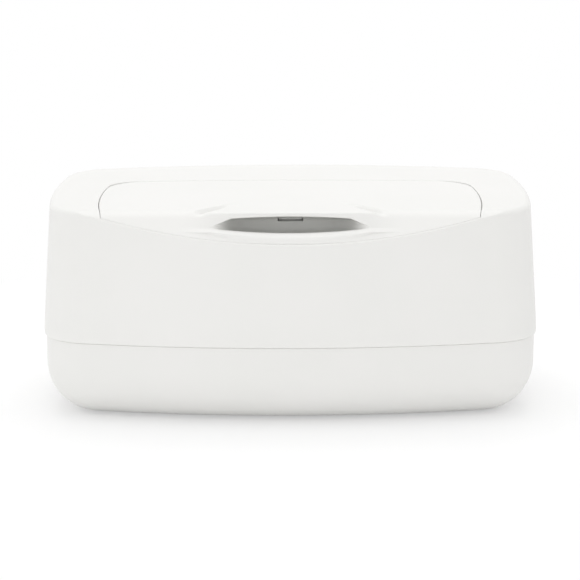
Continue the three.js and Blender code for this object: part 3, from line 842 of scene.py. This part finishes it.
def set_inputs(carrier: Solid, tree: Tree, values: dict) -> None:
    """Runs a Geometry Nodes tree on an object and keeps the plain mesh.

    Args:
        carrier: Object whose mesh goes in and is replaced by the result.
        tree: The tree.
        values: Values of the tree's inputs by their names.
    """
    modifier = carrier.modifiers.new("nodes", "NODES")
    modifier.node_group = tree
    for item in tree.interface.items_tree:
        if item.item_type == "SOCKET" and item.in_out == "INPUT" and item.name in values:
            modifier[item.identifier] = values[item.name]
    settle(carrier)


# Sub-assemblies


@dataclass(frozen=True)
class Tub:
    """Base tub with round lower corners, the spigot that guides the cover and the foot sockets."""

    box: BoxForm
    step: float = 1.2
    wall: float = 2.2
    floor: float = 3.0
    reach: float = 24.4
    rise: float = 25.3
    stand: float = 0.3
    spigot_wall: float = 1.6
    spigot_height: float = 6.0
    spigot_lead: tuple[Flat, ...] = ((0.0, 1.2), (0.2, 0.4), (0.6, 0.0))
    mouth_rise: float = 6.0
    cover_wall: float = 2.2
    mouth_soft: float = 0.35
    steps: int = 22

    @property
    def top(self) -> float:
        """Height of the tub's shoulder."""
        return self.box.split - self.box.split_gap / 2

    def _bowl(self, inset: float, floor: float, reach: float, rise: float) -> list[Flat]:
        """Profile of the round lower corner."""
        turns = [math.pi / 2 * i / self.steps for i in range(self.steps + 1)]
        return [(inset + reach * (1 - math.sin(a)), floor + rise * (1 - math.cos(a))) for a in turns]

    def build(self) -> Solid:
        """Builds the tub."""
        box = self.box
        shoulder = quarter_roll(self.step, self.top, self.mouth_soft, 4)
        tub = box.sweep(self._bowl(self.step, self.stand, self.reach, self.rise) + shoulder, "tub")
        out = self.cover_wall + box.seat_gap
        inside = out + self.spigot_wall
        root, peak = self.top - self.spigot_height / 2, self.top + self.spigot_height
        # The spigot's outer face leans in near its top, so that the cover finds its way
        lead = [(out + inset, peak - down) for inset, down in self.spigot_lead]
        join(tub, box.sweep([(out, root)] + lead))
        inner = self._bowl(self.step + self.wall, self.stand + self.floor, self.reach - self.wall,
                           self.rise - self.floor)
        inner += [(self.step + self.wall, root - 1), (inside, root + 1), (inside, peak - 0.5),
                  (inside - 0.5, peak + self.mouth_rise)]
        return take(tub, box.sweep(inner))


@dataclass(frozen=True)
class Feet:
    """Four soft feet, set in sockets under the tub by one Geometry Nodes tree."""

    radius: float = 6.0
    height: float = 2.0
    edge: float = 0.5
    reach_x: float = 84.0
    reach_y: float = 33.0
    socket_gap: float = 0.3
    dish: float = 0.35
    sides: int = 56

    def _profile(self) -> list[Flat]:
        """Half profile of one foot, from the middle of its dished sole to the middle of its top."""
        edge, reach = self.edge, self.radius
        sole = [(reach * 0.25, self.dish * 0.85), (reach * 0.5, self.dish * 0.4), (reach * 0.66, 0.06),
                (reach * 0.76, 0.0)]
        turns = [math.pi / 2 * i / 5 for i in range(6)]
        low = [(reach - edge + edge * math.sin(a), edge - edge * math.cos(a)) for a in turns]
        return sole + low + [(reach, self.height - 0.15), (reach - 0.15, self.height)]

    def one(self) -> Solid:
        """Builds one foot at the origin."""
        return stack(lambda radius: circle(radius, self.sides), self._profile(), "foot")

    def socket_cutters(self, stand: float) -> list[Solid]:
        """Cutters for the four sockets in the tub's floor."""
        reach, depth = self.radius + self.socket_gap, self.height + self.socket_gap
        mouth = reach + 0.5
        profile = [(mouth, stand - 1), (mouth, stand - 0.01), (reach, stand + 0.4), (reach, depth)]
        places = [(x, y) for x in (-self.reach_x, self.reach_x) for y in (-self.reach_y, self.reach_y)]
        return [stack(lambda radius, at=place: circle(radius, self.sides, at), profile, "socket")
                for place in places]

    def build(self, material: Material) -> Solid:
        """Sets the foot at the four places and turns the result to a plain mesh.

        Args:
            material: Finish that the tree sets.

        Returns:
            One object with the four feet, in millimetres.
        """
        foot = self.one()
        tree, given = start_tree("feet at the corners", {
            "Foot": "Geometry", "Spread X": "Float", "Spread Y": "Float", "Finish": "Material"}, "Feet")
        corners = add_node(tree, "GeometryNodeMeshGrid", links={
            "Size X": given.outputs["Spread X"], "Size Y": given.outputs["Spread Y"],
            "Vertices X": 2, "Vertices Y": 2})
        spread = add_node(tree, "GeometryNodeInstanceOnPoints", links={
            "Points": corners.outputs["Mesh"], "Instance": given.outputs["Foot"]})
        end_tree(tree, spread.outputs["Instances"], given.outputs["Finish"], "Feet")
        set_inputs(foot, tree, {
            "Spread X": 2 * self.reach_x, "Spread Y": 2 * self.reach_y, "Finish": material})
        return foot


@dataclass(frozen=True)
class Cover:
    """Upper cover: bowed walls, the well and deck under the lid, the rim, the brackets and the catch."""

    box: BoxForm
    mouth: MouthForm
    opening: OpeningForm
    hinge: HingeForm
    wall: float = 2.2
    roof_edge: float = 2.9
    lip_roll: float = 0.6
    lip_height: float = 5.5
    mouth_soft: float = 0.5
    front_lip: float = 0.5
    lid_edge: float = 1.0
    front_gap: float = 0.15
    well_wall: float = 1.8
    deck: float = 80.0
    deck_thickness: float = 2.0
    post_width: float = 11.0
    post_thickness: float = 1.8
    nose: float = 0.8
    post_front: float = -44.9
    slot_low: float = 95.7
    slot_height: float = 2.6

    def outer(self) -> Solid:
        """Outer form, with the rolled lower lip, the rolled roof edge and the leaning facet."""
        low = self.box.split + self.box.split_gap / 2
        turns = [math.pi / 2 * i / 8 for i in range(9)]
        lip = [(self.lip_roll * (1 - math.sin(a)), low + self.lip_height * (1 - math.cos(a))) for a in turns]
        return meet(self.box.sweep(lip + quarter_roll(0, self.box.rear_height, self.roof_edge, 12), "cover"),
                    self.box.under_skin(0, self.box.facet_soft))

    def bracket(self, x: float) -> Solid:
        """Bracket that carries a hinge pin, leaning back from its foot on the deck."""
        hinge, half = self.hinge, self.hinge.bracket / 2
        root = self.deck - self.deck_thickness / 2
        corners = [(hinge.y - hinge.foot_front, root), (hinge.y - hinge.foot_rear, root),
                   (hinge.y - hinge.foot_rear, self.deck + 1),
                   (hinge.y + hinge.boss * 0.35, hinge.z - hinge.boss * 0.9), (hinge.y, hinge.z),
                   (hinge.y - hinge.boss * 0.9, hinge.z + hinge.boss * 0.35),
                   (hinge.y - hinge.foot_front, self.deck + 4)]
        arm = prism_across(corners, x - half, x + half)
        return join(arm, rod_across(hinge.boss, x - half, x + half, hinge.y, hinge.z))

    def catch_post(self) -> Solid:
        """Post behind the finger pocket, with the nose that holds the lid shut."""
        front, top, back = self.post_front, self.slot_low + self.slot_height, self.post_front + self.nose
        corners = [(back, self.deck - 1), (back + self.post_thickness, self.deck - 1),
                   (back + self.post_thickness, top), (back, top), (front, top - self.nose),
                   (front, self.slot_low + self.nose), (back, self.slot_low)]
        return prism_across(corners, -self.post_width / 2, self.post_width / 2)

    def build(self) -> Solid:
        """Builds the cover."""
        box, mouth = self.box, self.mouth
        cover = self.outer()
        cavity = meet(box.sweep([(self.wall, box.split - 1), (self.wall, box.rear_height + 1)]),
                      box.under_skin(self.wall))
        deck_low = self.deck - self.deck_thickness
        block = meet(mouth.prism(-self.well_wall, deck_low, box.rear_height + 1),
                     box.under_skin(self.wall / 2), box.behind_front(self.wall / 2))
        roll = [(-inset, over) for inset, over in quarter_roll(0, 0, self.mouth_soft, 5)]
        flare = roll + [(-self.mouth_soft, BEYOND)]
        recess = meet(mouth.under_roof(flare, self.deck), box.behind_front(self.wall))
        seat = take(meet(mouth.under_roof(flare, self.deck), box.behind_front(self.front_lip)),
                    box.under_skin(self.lid_edge + self.front_gap))
        take(cover, cavity)
        join(cover, block)
        take(cover, recess, seat)
        opening = self.opening
        top = self.deck + opening.rim_height
        join(cover, opening.ring(0, opening.rim_wall, deck_low, top, opening.rim_soft))
        take(cover, prism_up(opening.outline(0), deck_low - 1, self.deck + 1))
        join(cover, self.catch_post())
        hinge = self.hinge
        for x in hinge.xs:
            half = hinge.bracket / 2 + 1
            join(cover, self.bracket(x))
            take(cover, rod_across(hinge.pin + hinge.clearance, x - half, x + half, hinge.y, hinge.z))
        return cover


@dataclass(frozen=True)
class VisorFront:
    """The lid's front: a visor lip over a scooped finger pocket, in a swollen ring on the leaning facet.

    It is one skin lofted across the lid. Each section runs along the roof, over the lip, in and out of the
    pocket, over the ring and down the facet, and away from the middle it sinks into the plain roof and facet.
    """

    box: BoxForm
    half_span: float = 60.0
    stations: int = 193
    rear: float = -33.0
    low: float = 84.0
    lip_front: float = -59.1
    lip_level: float = 30.0
    lip_end: float = 54.0
    lip_soft: float = 0.8
    ring_line: float = -58.8
    ring_lean: float = math.radians(25.6)
    ring_land: float = 1.6
    bead: float = 1.6
    ring_outline: tuple[Flat, ...] = ((0.0, 87.9), (14.0, 88.5), (28.0, 90.0), (38.4, 92.6), (42.5, 95.9),
                                      (47.0, 99.3), (54.0, 101.4))
    top_height: float = 99.9
    bottom_height: float = 92.6
    top_half: float = 28.0
    bottom_half: float = 37.6
    top_sag: float = 0.9
    bottom_sag: float = 2.1
    tip_height: float = 0.5
    pocket_back: float = -47.0
    pocket_wall: float = 1.8
    pocket_roll: float = 1.2
    faded_half: float = 0.2
    roof_lead: float = 2.3
    pocket_level: float = 21.0
    pocket_drop: float = 2.0
    wall: float = 2.0
    corner_rolls: tuple[float, ...] = (0.45, 1.0, 1.2, 1.2, 1.2, 1.0, 1.6, 2.2)
    valley_start: Flat = (25.5, -33.0)
    valley_end: Flat = (44.5, -53.0)
    valley_depth: float = 2.1
    valley_bank: float = 2.2
    valley_width: float = 8.0
    valley_drop: float = 4.5
    valley_start_share: float = 0.4
    valley_rise: Flat = (0.02, 0.6)
    valley_fall: Flat = (0.85, 1.25)
    roof_steps: int = 44

    def _valley_at(self, x: float, y: float) -> float:
        """Depth of the valley that carries the facet back over the roof beside the lip's shoulder."""
        start, end = Vector(self.valley_start), Vector(self.valley_end)
        along = end - start
        spot = Vector((abs(x), y)) - start
        share = spot.dot(along) / along.length_squared
        inward = spot.dot(Vector((along.y, -along.x)).normalized())
        if inward < 0:
            return 0.0
        start = self.valley_start_share
        width = self.valley_width * (start + (1 - start) * max(0.0, share))
        across = smooth_step(inward, 0.0, self.valley_bank) * (1 - smooth_step(inward, self.valley_bank, width))
        along = smooth_step(share, *self.valley_rise) * (1 - smooth_step(share, *self.valley_fall))
        return self.valley_depth * across * along

    def _lips(self, x: float) -> tuple[float, float]:
        """Heights of the pocket's upper and lower lip."""
        away = abs(x)
        low = self.bottom_height + self.bottom_sag * min(1.0, away / self.bottom_half) ** 2
        level = self.top_height - self.top_sag * min(1.0, away / self.top_half) ** 2
        tip = self.bottom_height + self.bottom_sag + self.tip_height
        down = min(1.0, max(0.0, (away - self.top_half) / (self.bottom_half - self.top_half)))
        return between(level, tip, down), low

    def _outer(self, x: float, lift: float, scoop: float) -> list[Flat]:
        """Outer line of a section.

        Args:
            x: Place of the section.
            lift: Share of the lip and the ring, 1 in the middle.
            scoop: Share of the pocket's depth, 1 in the middle.

        Returns:
            Points (y, z) from the roof down to the facet's foot.
        """
        box = self.box
        nose = between(box.facet_line, self.lip_front, lift)
        high, low = self._lips(x)

        def skin(z: float) -> float:
            """Depth of the ring's face at a height."""
            ring = self.ring_line - math.tan(self.ring_lean) * (self.top_height - z)
            return between(box.facet(z), ring, lift)

        def inward(z: float, deep: float) -> Flat:
            """A pocket point, drawn out to the ring's face where the scoop fades."""
            return (between(skin(z), deep, scoop), z)

        def rolled(z: float, proud: float) -> Flat:
            """A point of the rolled lower lip, which stands proud of the facet."""
            return (min(skin(z), box.facet(z) - proud * lift), z)

        drop = self.pocket_drop * scoop
        ceiling = high - drop - self.faded_half * (1 - scoop)
        ground = low - drop + self.faded_half * (1 - scoop)
        turn = min(self.pocket_roll, (ceiling - ground) / 3)
        foot = min(low - self.ring_land - 0.5, bent(self.ring_outline, abs(x)))
        start = nose + self.roof_lead * box.facet_soft
        corners = [
            (start, box.roof(start)), (nose, box.roof(nose)), (skin(high), high),
            inward(ceiling, self.pocket_back - 1.5), inward(ceiling - turn, self.pocket_back),
            inward(ground + turn, self.pocket_back), inward(ground, self.pocket_back - 2.0),
            rolled(low, 0.1), rolled(low - self.ring_land, self.bead),
            (box.facet(foot), foot), (box.facet(self.low), self.low)]
        rolls = [0, between(box.facet_soft, self.lip_soft, lift), *self.corner_rolls, 0]
        front = rounded(corners, rolls, box.soft_steps)[1:]
        ys = [between(self.rear, front[0][0], k / self.roof_steps) for k in range(self.roof_steps)]
        # The valley lowers the roof and the lip's nose, and has run out where the ring's face begins
        nose_end = box.soft_steps + 1
        return [(y, z - self._valley_at(x, y) * smooth_step(z, box.roof(y) - self.valley_drop, box.roof(y)))
                for y, z in [(y, box.roof(y)) for y in ys] + front[:nose_end]] + front[nose_end:]

    def _inner(self, x: float, scoop: float) -> list[Flat]:
        """Inner line of a section, from the roof down."""
        box = self.box
        base = self._lips(x)[1] - self.pocket_drop * scoop - self.pocket_wall

        def behind(z: float) -> float:
            """Depth of the facet's inner face at a height."""
            return box.facet(z) + self.wall / math.cos(box.facet_lean)

        rear = self.pocket_back + self.pocket_wall
        deep = between(behind(box.roof(box.facet_line) - self.wall), rear, scoop)
        return [(self.rear, box.roof(self.rear) - self.wall), (deep, box.roof(deep) - self.wall),
                (max(behind(base), between(behind(base), rear, scoop)), base),
                (behind(base - 0.5), base - 0.5), (behind(self.low), self.low)]

    def window(self) -> Solid:
        """Block that clears the plain lid where this front goes."""
        y_low = self.box.facet(self.low) - 8
        return prism_up([(-self.half_span, y_low), (self.half_span, y_low), (self.half_span, self.rear),
                         (-self.half_span, self.rear)], self.low, self.box.rear_height + 8)

    def build(self) -> Solid:
        """Builds the front as a closed solid."""
        rings = []
        for i in range(self.stations):
            x = between(-self.half_span, self.half_span, i / (self.stations - 1))
            lift = 1 - smooth_step(abs(x), self.lip_level, self.lip_end)
            scoop = 1 - smooth_step(abs(x), self.pocket_level, self.bottom_half + 0.5)
            rings.append([(x, y, z) for y, z in self._outer(x, lift, scoop) + self._inner(x, scoop)[::-1]])
        return loft(rings, "front")


@dataclass(frozen=True)
class Lid:
    """Hinged lid: soft-edged panel, skirt, visor front, seal carrier and hinge knuckles."""

    box: BoxForm
    mouth: MouthForm
    opening: OpeningForm
    hinge: HingeForm
    front: VisorFront
    deck: float = 80.0
    wall: float = 2.0
    gap: float = 0.25
    ease: float = 4.0
    edge: float = 0.7
    skirt: float = 4.5
    front_lip: float = 0.5
    front_gap: float = 0.15
    front_edge: float = 1.0
    front_run: float = 1.5
    seal_width: float = 3.4
    seal_height: float = 3.0
    groove_depth: float = 1.7
    groove_wall: float = 1.2
    carrier: float = 4.0
    slot_width: float = 12.0
    slot_height: float = 2.6
    slot_low: float = 95.7

    def _panel(self) -> Solid:
        """The plain panel under the roof and behind the facet."""
        roll = quarter_roll(self.gap, 0, self.edge, 8)
        body = self.mouth.under_roof(roll, self.deck - 2, self.ease)
        return meet(body, self.box.under_skin(0, self.box.facet_soft))

    def _knuckles(self, x: float) -> list[Solid]:
        """The two knuckles that stand either side of a bracket."""
        hinge = self.hinge
        inner = hinge.bracket / 2 + hinge.knuckle_gap
        made = []
        for start, end in ((x - hinge.reach, x - inner), (x + inner, x + hinge.reach)):
            rod = rod_across(hinge.knuckle, start, end, hinge.y, hinge.z)
            top = self.box.roof(hinge.y) - self.wall / 2
            web = prism_across([(hinge.y - hinge.knuckle, hinge.z), (hinge.y + hinge.knuckle, hinge.z),
                                (hinge.y + hinge.knuckle, top), (hinge.y - hinge.knuckle, top)], start, end)
            made.append(join(rod, web))
        return made

    def build(self) -> Solid:
        """Builds the lid."""
        box, mouth, opening, hinge = self.box, self.mouth, self.opening, self.hinge
        lid = self._panel()
        take(lid, box.under_skin(self.skirt))
        take(lid, meet(mouth.prism(self.gap + self.wall, self.deck - 4, box.rear_height + BEYOND, self.ease),
                       box.under_skin(self.wall)))
        take(lid, self.front.window())
        join(lid, self.front.build())
        meet(lid, box.behind_front(self.front_lip + self.front_gap))
        step = take(box.under_skin(self.front_edge),
                    box.behind_front(self.front_lip + self.front_gap + self.front_run))
        take(lid, step)
        low = (self.deck + opening.rim_height + box.seat_gap + self.seal_height + box.seat_gap
               - self.groove_depth)
        middle = opening.rim_wall / 2
        groove = self.seal_width / 2 + box.seat_gap
        carrier = groove + self.groove_wall
        join(lid, opening.ring(middle - carrier, middle + carrier, low, low + self.carrier),
             meet(opening.ring(middle - 1, middle + 1, low + self.carrier / 2, box.rear_height),
                  box.under_skin(self.wall / 2)))
        take(lid, opening.ring(middle - groove, middle + groove, low - 1, low + self.groove_depth))
        for x in hinge.xs:
            join(lid, *self._knuckles(x))
        for x in hinge.xs:
            half, reach = hinge.bracket / 2 + hinge.knuckle_gap, hinge.reach + 1
            take(lid, rod_across(hinge.boss + box.seat_gap, x - half, x + half, hinge.y, hinge.z),
                 rod_across(hinge.pin + hinge.clearance, x - reach, x + reach, hinge.y, hinge.z))
        front, back = self.front.pocket_back - 1.2, self.front.pocket_back + 3
        high = self.slot_low + self.slot_height
        outline = [(front, self.slot_low), (back, self.slot_low), (back, high), (front, high)]
        return take(lid, prism_across(outline, -self.slot_width / 2, self.slot_width / 2))


@dataclass(frozen=True)
class Seal:
    """Soft bead in the lid's groove, swept round the opening by a Geometry Nodes tree."""

    opening: OpeningForm
    width: float = 3.4
    height: float = 3.0
    soft: float = 0.9
    low: float = 89.3

    def build(self, material: Material) -> Solid:
        """Sweeps the bead and turns it to a plain mesh.

        Args:
            material: Finish that the tree sets.

        Returns:
            The bead, in millimetres.
        """
        labels = ("Length", "Width", "Corner", "Bead Width", "Bead Height", "Bead Edge")
        kinds = {label: "Float" for label in labels}
        tree, given = start_tree("bead round the opening", {
            "Carrier": "Geometry", **kinds, "Place": "Vector", "Finish": "Material"}, "Bead")
        path = add_node(tree, "GeometryNodeCurvePrimitiveQuadrilateral", links={
            "Width": given.outputs["Length"], "Height": given.outputs["Width"]})
        bend = add_node(tree, "GeometryNodeFilletCurve", {"mode": "POLY"}, {
            "Curve": path.outputs["Curve"], "Count": 16, "Radius": given.outputs["Corner"]})
        section = add_node(tree, "GeometryNodeCurvePrimitiveQuadrilateral", links={
            "Width": given.outputs["Bead Width"], "Height": given.outputs["Bead Height"]})
        soft = add_node(tree, "GeometryNodeFilletCurve", {"mode": "POLY"}, {
            "Curve": section.outputs["Curve"], "Count": 6, "Radius": given.outputs["Bead Edge"]})
        swept = add_node(tree, "GeometryNodeCurveToMesh", links={
            "Curve": bend.outputs["Curve"], "Profile Curve": soft.outputs["Curve"]})
        placed = add_node(tree, "GeometryNodeTransform", links={
            "Geometry": swept.outputs["Mesh"], "Translation": given.outputs["Place"]})
        end_tree(tree, placed.outputs["Geometry"], given.outputs["Finish"], "Bead")
        carrier = place_mesh("seal", [(0, 0, 0)], [])
        middle = self.opening.rim_wall / 2
        set_inputs(carrier, tree, {
            "Length": self.opening.length + 2 * middle, "Width": self.opening.width + 2 * middle,
            "Corner": self.opening.corner + middle, "Bead Width": self.width, "Bead Height": self.height,
            "Bead Edge": self.soft, "Place": (0.0, self.opening.y, self.low + self.height / 2),
            "Finish": material})
        shape = bmesh.new()
        shape.from_mesh(carrier.data)
        bmesh.ops.remove_doubles(shape, verts=shape.verts, dist=0.001)
        bmesh.ops.recalc_face_normals(shape, faces=shape.faces)
        shape.to_mesh(carrier.data)
        shape.free()
        return carrier


@dataclass(frozen=True)
class WeightPlate:
    """Plate that presses the wipes down: a rim, a slot with its collar and rails round two bars."""

    low: float = 3.6
    length: float = 172.0
    width: float = 78.0
    corner: float = 14.0
    thickness: float = 2.2
    rim_wall: float = 1.6
    rim_height: float = 7.0
    slot_length: float = 64.0
    slot_width: float = 10.0
    slot_corner: float = 4.0
    collar: float = 6.0
    bar_length: float = 118.0
    bar_width: float = 12.0
    bar_height: float = 4.0
    bar_corner: float = 1.5
    bar_soft: float = 0.5
    bar_ys: tuple[float, float] = (-22.0, 22.0)
    rail_wall: float = 1.4
    rail_height: float = 2.5
    gap: float = 0.3
    soft: float = 0.5

    def _wall(self, outline: Outline, inner: float, outer: float, top: float) -> Solid:
        """Upright wall round an outline, with soft top edges."""
        return upright_ring(outline, inner, outer, self.low + self.thickness / 2, top, self.soft)

    def build(self) -> Solid:
        """Builds the plate."""
        face = self.low + self.thickness

        def disc(grow: float) -> list[Flat]:
            """Outline of the plate."""
            return grown_bar(self.length, self.width, self.corner, grow)

        def slot(grow: float) -> list[Flat]:
            """Outline of the slot."""
            return grown_bar(self.slot_length, self.slot_width, self.slot_corner, grow)

        lower = [(inset, 2 * self.low - z) for inset, z in quarter_roll(0, self.low, self.soft, 4)][::-1]
        plate = stack(lambda inset: disc(-inset), lower + [(0.0, face)], "plate")
        join(plate, self._wall(disc, -self.rim_wall, 0, self.low + self.rim_height))
        join(plate, prism_up(slot(self.rail_wall), self.low + self.thickness / 2, self.low + self.collar))
        for y in self.bar_ys:
            def rail(grow: float, at: float = y) -> list[Flat]:
                """Outline of a bar's seat."""
                return grown_bar(self.bar_length, self.bar_width, self.bar_corner, grow, at)
            join(plate, self._wall(rail, self.gap, self.gap + self.rail_wall, face + self.rail_height))
        return take(plate, prism_up(slot(0), self.low - 1, self.low + self.collar + 1))

    def bar(self, y: float) -> Solid:
        """Builds one steel bar with broken edges."""
        low = self.low + self.thickness + self.gap
        top = low + self.bar_height
        rise = quarter_roll(0, top, self.bar_soft, 4)
        fall = [(inset, low + top - z) for inset, z in rise][::-1]

        def outline(inset: float) -> list[Flat]:
            """Outline of the bar."""
            return grown_bar(self.bar_length, self.bar_width, self.bar_corner, -inset, y)

        return stack(outline, fall + rise, "bar")


# The studio


@dataclass(frozen=True)
class Studio:
    """Plain pale floor, soft lamps and the camera at the photograph's viewing angle."""

    camera_place: Place = (-3.309, -900.9, 239.77)
    pitch: float = 0.2049
    yaw: float = -0.0036
    roll: float = -0.0016
    focal_px: float = 1820.6
    image_px: float = 580.0
    sensor: float = 36.0
    floor_shade: str = "#fbfbfb"
    floor_light_shade: str = "#fdfdfd"
    floor_patch_mm: float = 1000 / 3
    left_strength: float = 0.935
    right_strength: float = 0.81
    shadow_reach: float = 0.16
    white_reach: float = 0.34
    near_white: float = 0.4

    def camera(self) -> None:
        """Adds the camera."""
        data = bpy.data.cameras.new("camera")
        data.sensor_width = self.sensor
        data.sensor_fit = "HORIZONTAL"
        data.lens = self.focal_px / self.image_px * self.sensor
        data.clip_start = 0.05
        data.clip_end = 20
        seat = bpy.data.objects.new("camera", data)
        bpy.context.scene.collection.objects.link(seat)
        turn = (Matrix.Rotation(self.yaw, 4, "Z") @ Matrix.Rotation(math.pi / 2 - self.pitch, 4, "X")
                @ Matrix.Rotation(self.roll, 4, "Z"))
        seat.matrix_world = Matrix.Translation(Vector(self.camera_place) * MM) @ turn
        bpy.context.scene.camera = seat

    def floor(self) -> None:
        """Adds the floor, which curves up behind into a backdrop."""
        half, front, back, turn, height, steps = 4.0, -3.0, 2.2, 1.0, 3.0, 16
        bend = [math.pi / 2 * k / steps for k in range(1, steps + 1)]
        line = [(front, 0.0), (back, 0.0)]
        line += [(back + turn * math.sin(a), turn * (1 - math.cos(a))) for a in bend]
        line.append((back + turn, height))
        points = [(x, y, z) for y, z in line for x in (-half, half)]
        faces = [(2 * k, 2 * k + 1, 2 * k + 3, 2 * k + 2) for k in range(len(line) - 1)]
        ground = place_mesh("floor", points, faces)
        ground.data.shade_smooth()
        material, tree, spot = fresh_material("matt white paper")
        patches = noise(tree, spot, self.floor_patch_mm, 2.0)
        paper = blend(tree, patches, self.floor_shade, self.floor_light_shade)
        matt = add_node(tree, "ShaderNodeBsdfDiffuse", links={"Color": paper})
        # To the camera the paper burns out to white away from the object, and keeps its shadow near it
        white = add_node(tree, "ShaderNodeEmission", links={"Color": (1.0, 1.0, 1.0, 1.0), "Strength": 1.0})
        away = add_node(tree, "ShaderNodeVectorMath", {"operation": "LENGTH"}, {0: spot})
        burnt = ranged(tree, away.outputs["Value"], (self.shadow_reach, self.white_reach),
                       (self.near_white, 1.0))
        path = add_node(tree, "ShaderNodeLightPath").outputs
        seen = maths(tree, "MAXIMUM", path["Is Camera Ray"], path["Is Glossy Ray"])
        mix = add_node(tree, "ShaderNodeMixShader", links={
            0: maths(tree, "MULTIPLY", seen, burnt), 1: matt.outputs["BSDF"], 2: white.outputs["Emission"]})
        add_node(tree, "ShaderNodeOutputMaterial", links={"Surface": mix.outputs["Shader"]})
        ground.data.materials.append(material)

    def world(self) -> None:
        """Sets a pale world that is white to the camera."""
        world = bpy.data.worlds.new("studio")
        bpy.context.scene.world = world
        world.use_nodes = True
        tree = world.node_tree
        tree.nodes.clear()
        path = add_node(tree, "ShaderNodeLightPath").outputs
        seen = maths(tree, "MAXIMUM", path["Is Camera Ray"], path["Is Transmission Ray"])
        # The room is a little darker on the right
        way = add_node(tree, "ShaderNodeTexCoord").outputs["Generated"]
        side = add_node(tree, "ShaderNodeSeparateXYZ", links={0: way}).outputs["X"]
        level = ranged(tree, side, (-1.0, 1.0), (self.left_strength, self.right_strength))
        light = add_node(tree, "ShaderNodeBackground", links={
            "Color": (1.0, 1.0, 1.0, 1.0), "Strength": ranged(tree, seen, (0.0, 1.0), (level, 1.0))})
        add_node(tree, "ShaderNodeOutputWorld", links={"Surface": light.outputs["Background"]})

    def lamp(self, name: str, place: Place, target: Place, size: float, power: float) -> None:
        """Adds a soft square lamp.

        Args:
            name: Name of the lamp.
            place: Where it hangs, in metres.
            target: What it faces, in metres.
            size: Side of the lamp, in metres.
            power: Power in watts.
        """
        data = bpy.data.lights.new(name, "AREA")
        data.shape = "SQUARE"
        data.size = size
        data.energy = power
        seat = bpy.data.objects.new(name, data)
        bpy.context.scene.collection.objects.link(seat)
        aim = (Vector(target) - Vector(place)).to_track_quat("-Z", "Y")
        seat.matrix_world = Matrix.Translation(Vector(place)) @ aim.to_matrix().to_4x4()

    def build(self) -> None:
        """Builds the studio."""
        view = bpy.context.scene.view_settings
        view.view_transform = "Standard"
        self.camera()
        self.floor()
        self.world()
        self.lamp("overhead", (0.0, 0.3, 1.4), (0.0, 0.0, 0.1), 1.2, 5.9)
        self.lamp("low front", (-0.5, -1.7, 0.16), (0.0, 0.0, 0.02), 1.0, 2.6)


def main() -> None:
    """Builds the studio and every sub-assembly in order, and reports each piece."""
    logging.basicConfig(level=logging.INFO, format="%(name)s: %(message)s")
    Studio().build()
    plastic = MouldedPolypropylene().make()
    # The lid's plastic has painted shade inside its finger pocket, which stands in for the pocket's shadow
    lid_plastic = MouldedPolypropylene(
        "moulded polypropylene with painted pocket shade", painted_pocket_shade="#d2d2cf").make()
    silicone = MouldedRubber("moulded silicone", "#e2e2df", "#ebebe8").make()
    rubber = MouldedRubber("thermoplastic rubber", "#d9d9d5", "#e4e4e0", 0.75).make()
    steel = DrawnSteel().make()

    box = BoxForm()
    mouth = MouthForm(box)
    # The lid's rear edge stands further off, because it swings down into the well
    lid_form = MouthForm(box, rear=mouth.rear - 0.55)
    opening = OpeningForm()
    hinge = HingeForm(box)
    tub = Tub(box)
    feet = Feet()
    shell = take(tub.build(), *feet.socket_cutters(tub.stand))
    finish_mesh(shell, "dressed_tub", plastic, Body.BASE, ["base_tub"])
    finish_mesh(feet.build(rubber), "dressed_feet", rubber, Body.BASE,
                ["foot_front_left", "foot_front_right", "foot_rear_left", "foot_rear_right"])
    finish_mesh(Cover(box, mouth, opening, hinge).build(), "dressed_cover", plastic, Body.COVER,
                ["upper_cover"])
    lid = Lid(box, lid_form, opening, hinge, VisorFront(box))
    finish_mesh(lid.build(), "dressed_lid", lid_plastic, Body.LID,
                ["lid"])
    finish_mesh(Seal(opening).build(silicone), "dressed_seal", silicone, Body.LID,
                ["lid_seal"])
    plate = WeightPlate()
    finish_mesh(plate.build(), "dressed_plate", plastic, Body.BASE, ["weight_plate"])
    for y, node in zip(plate.bar_ys, ("plate_bar_front", "plate_bar_rear")):
        finish_mesh(plate.bar(y), "dressed_" + node, steel, Body.BASE, [node])
    for x, node in zip(hinge.xs, ("hinge_pin_left", "hinge_pin_right")):
        pin = rod_across(hinge.pin, x - hinge.reach, x + hinge.reach, hinge.y, hinge.z, 0.3)
        finish_mesh(pin, "dressed_" + node, steel, Body.COVER, [node])


if __name__ == "__main__":
    main()
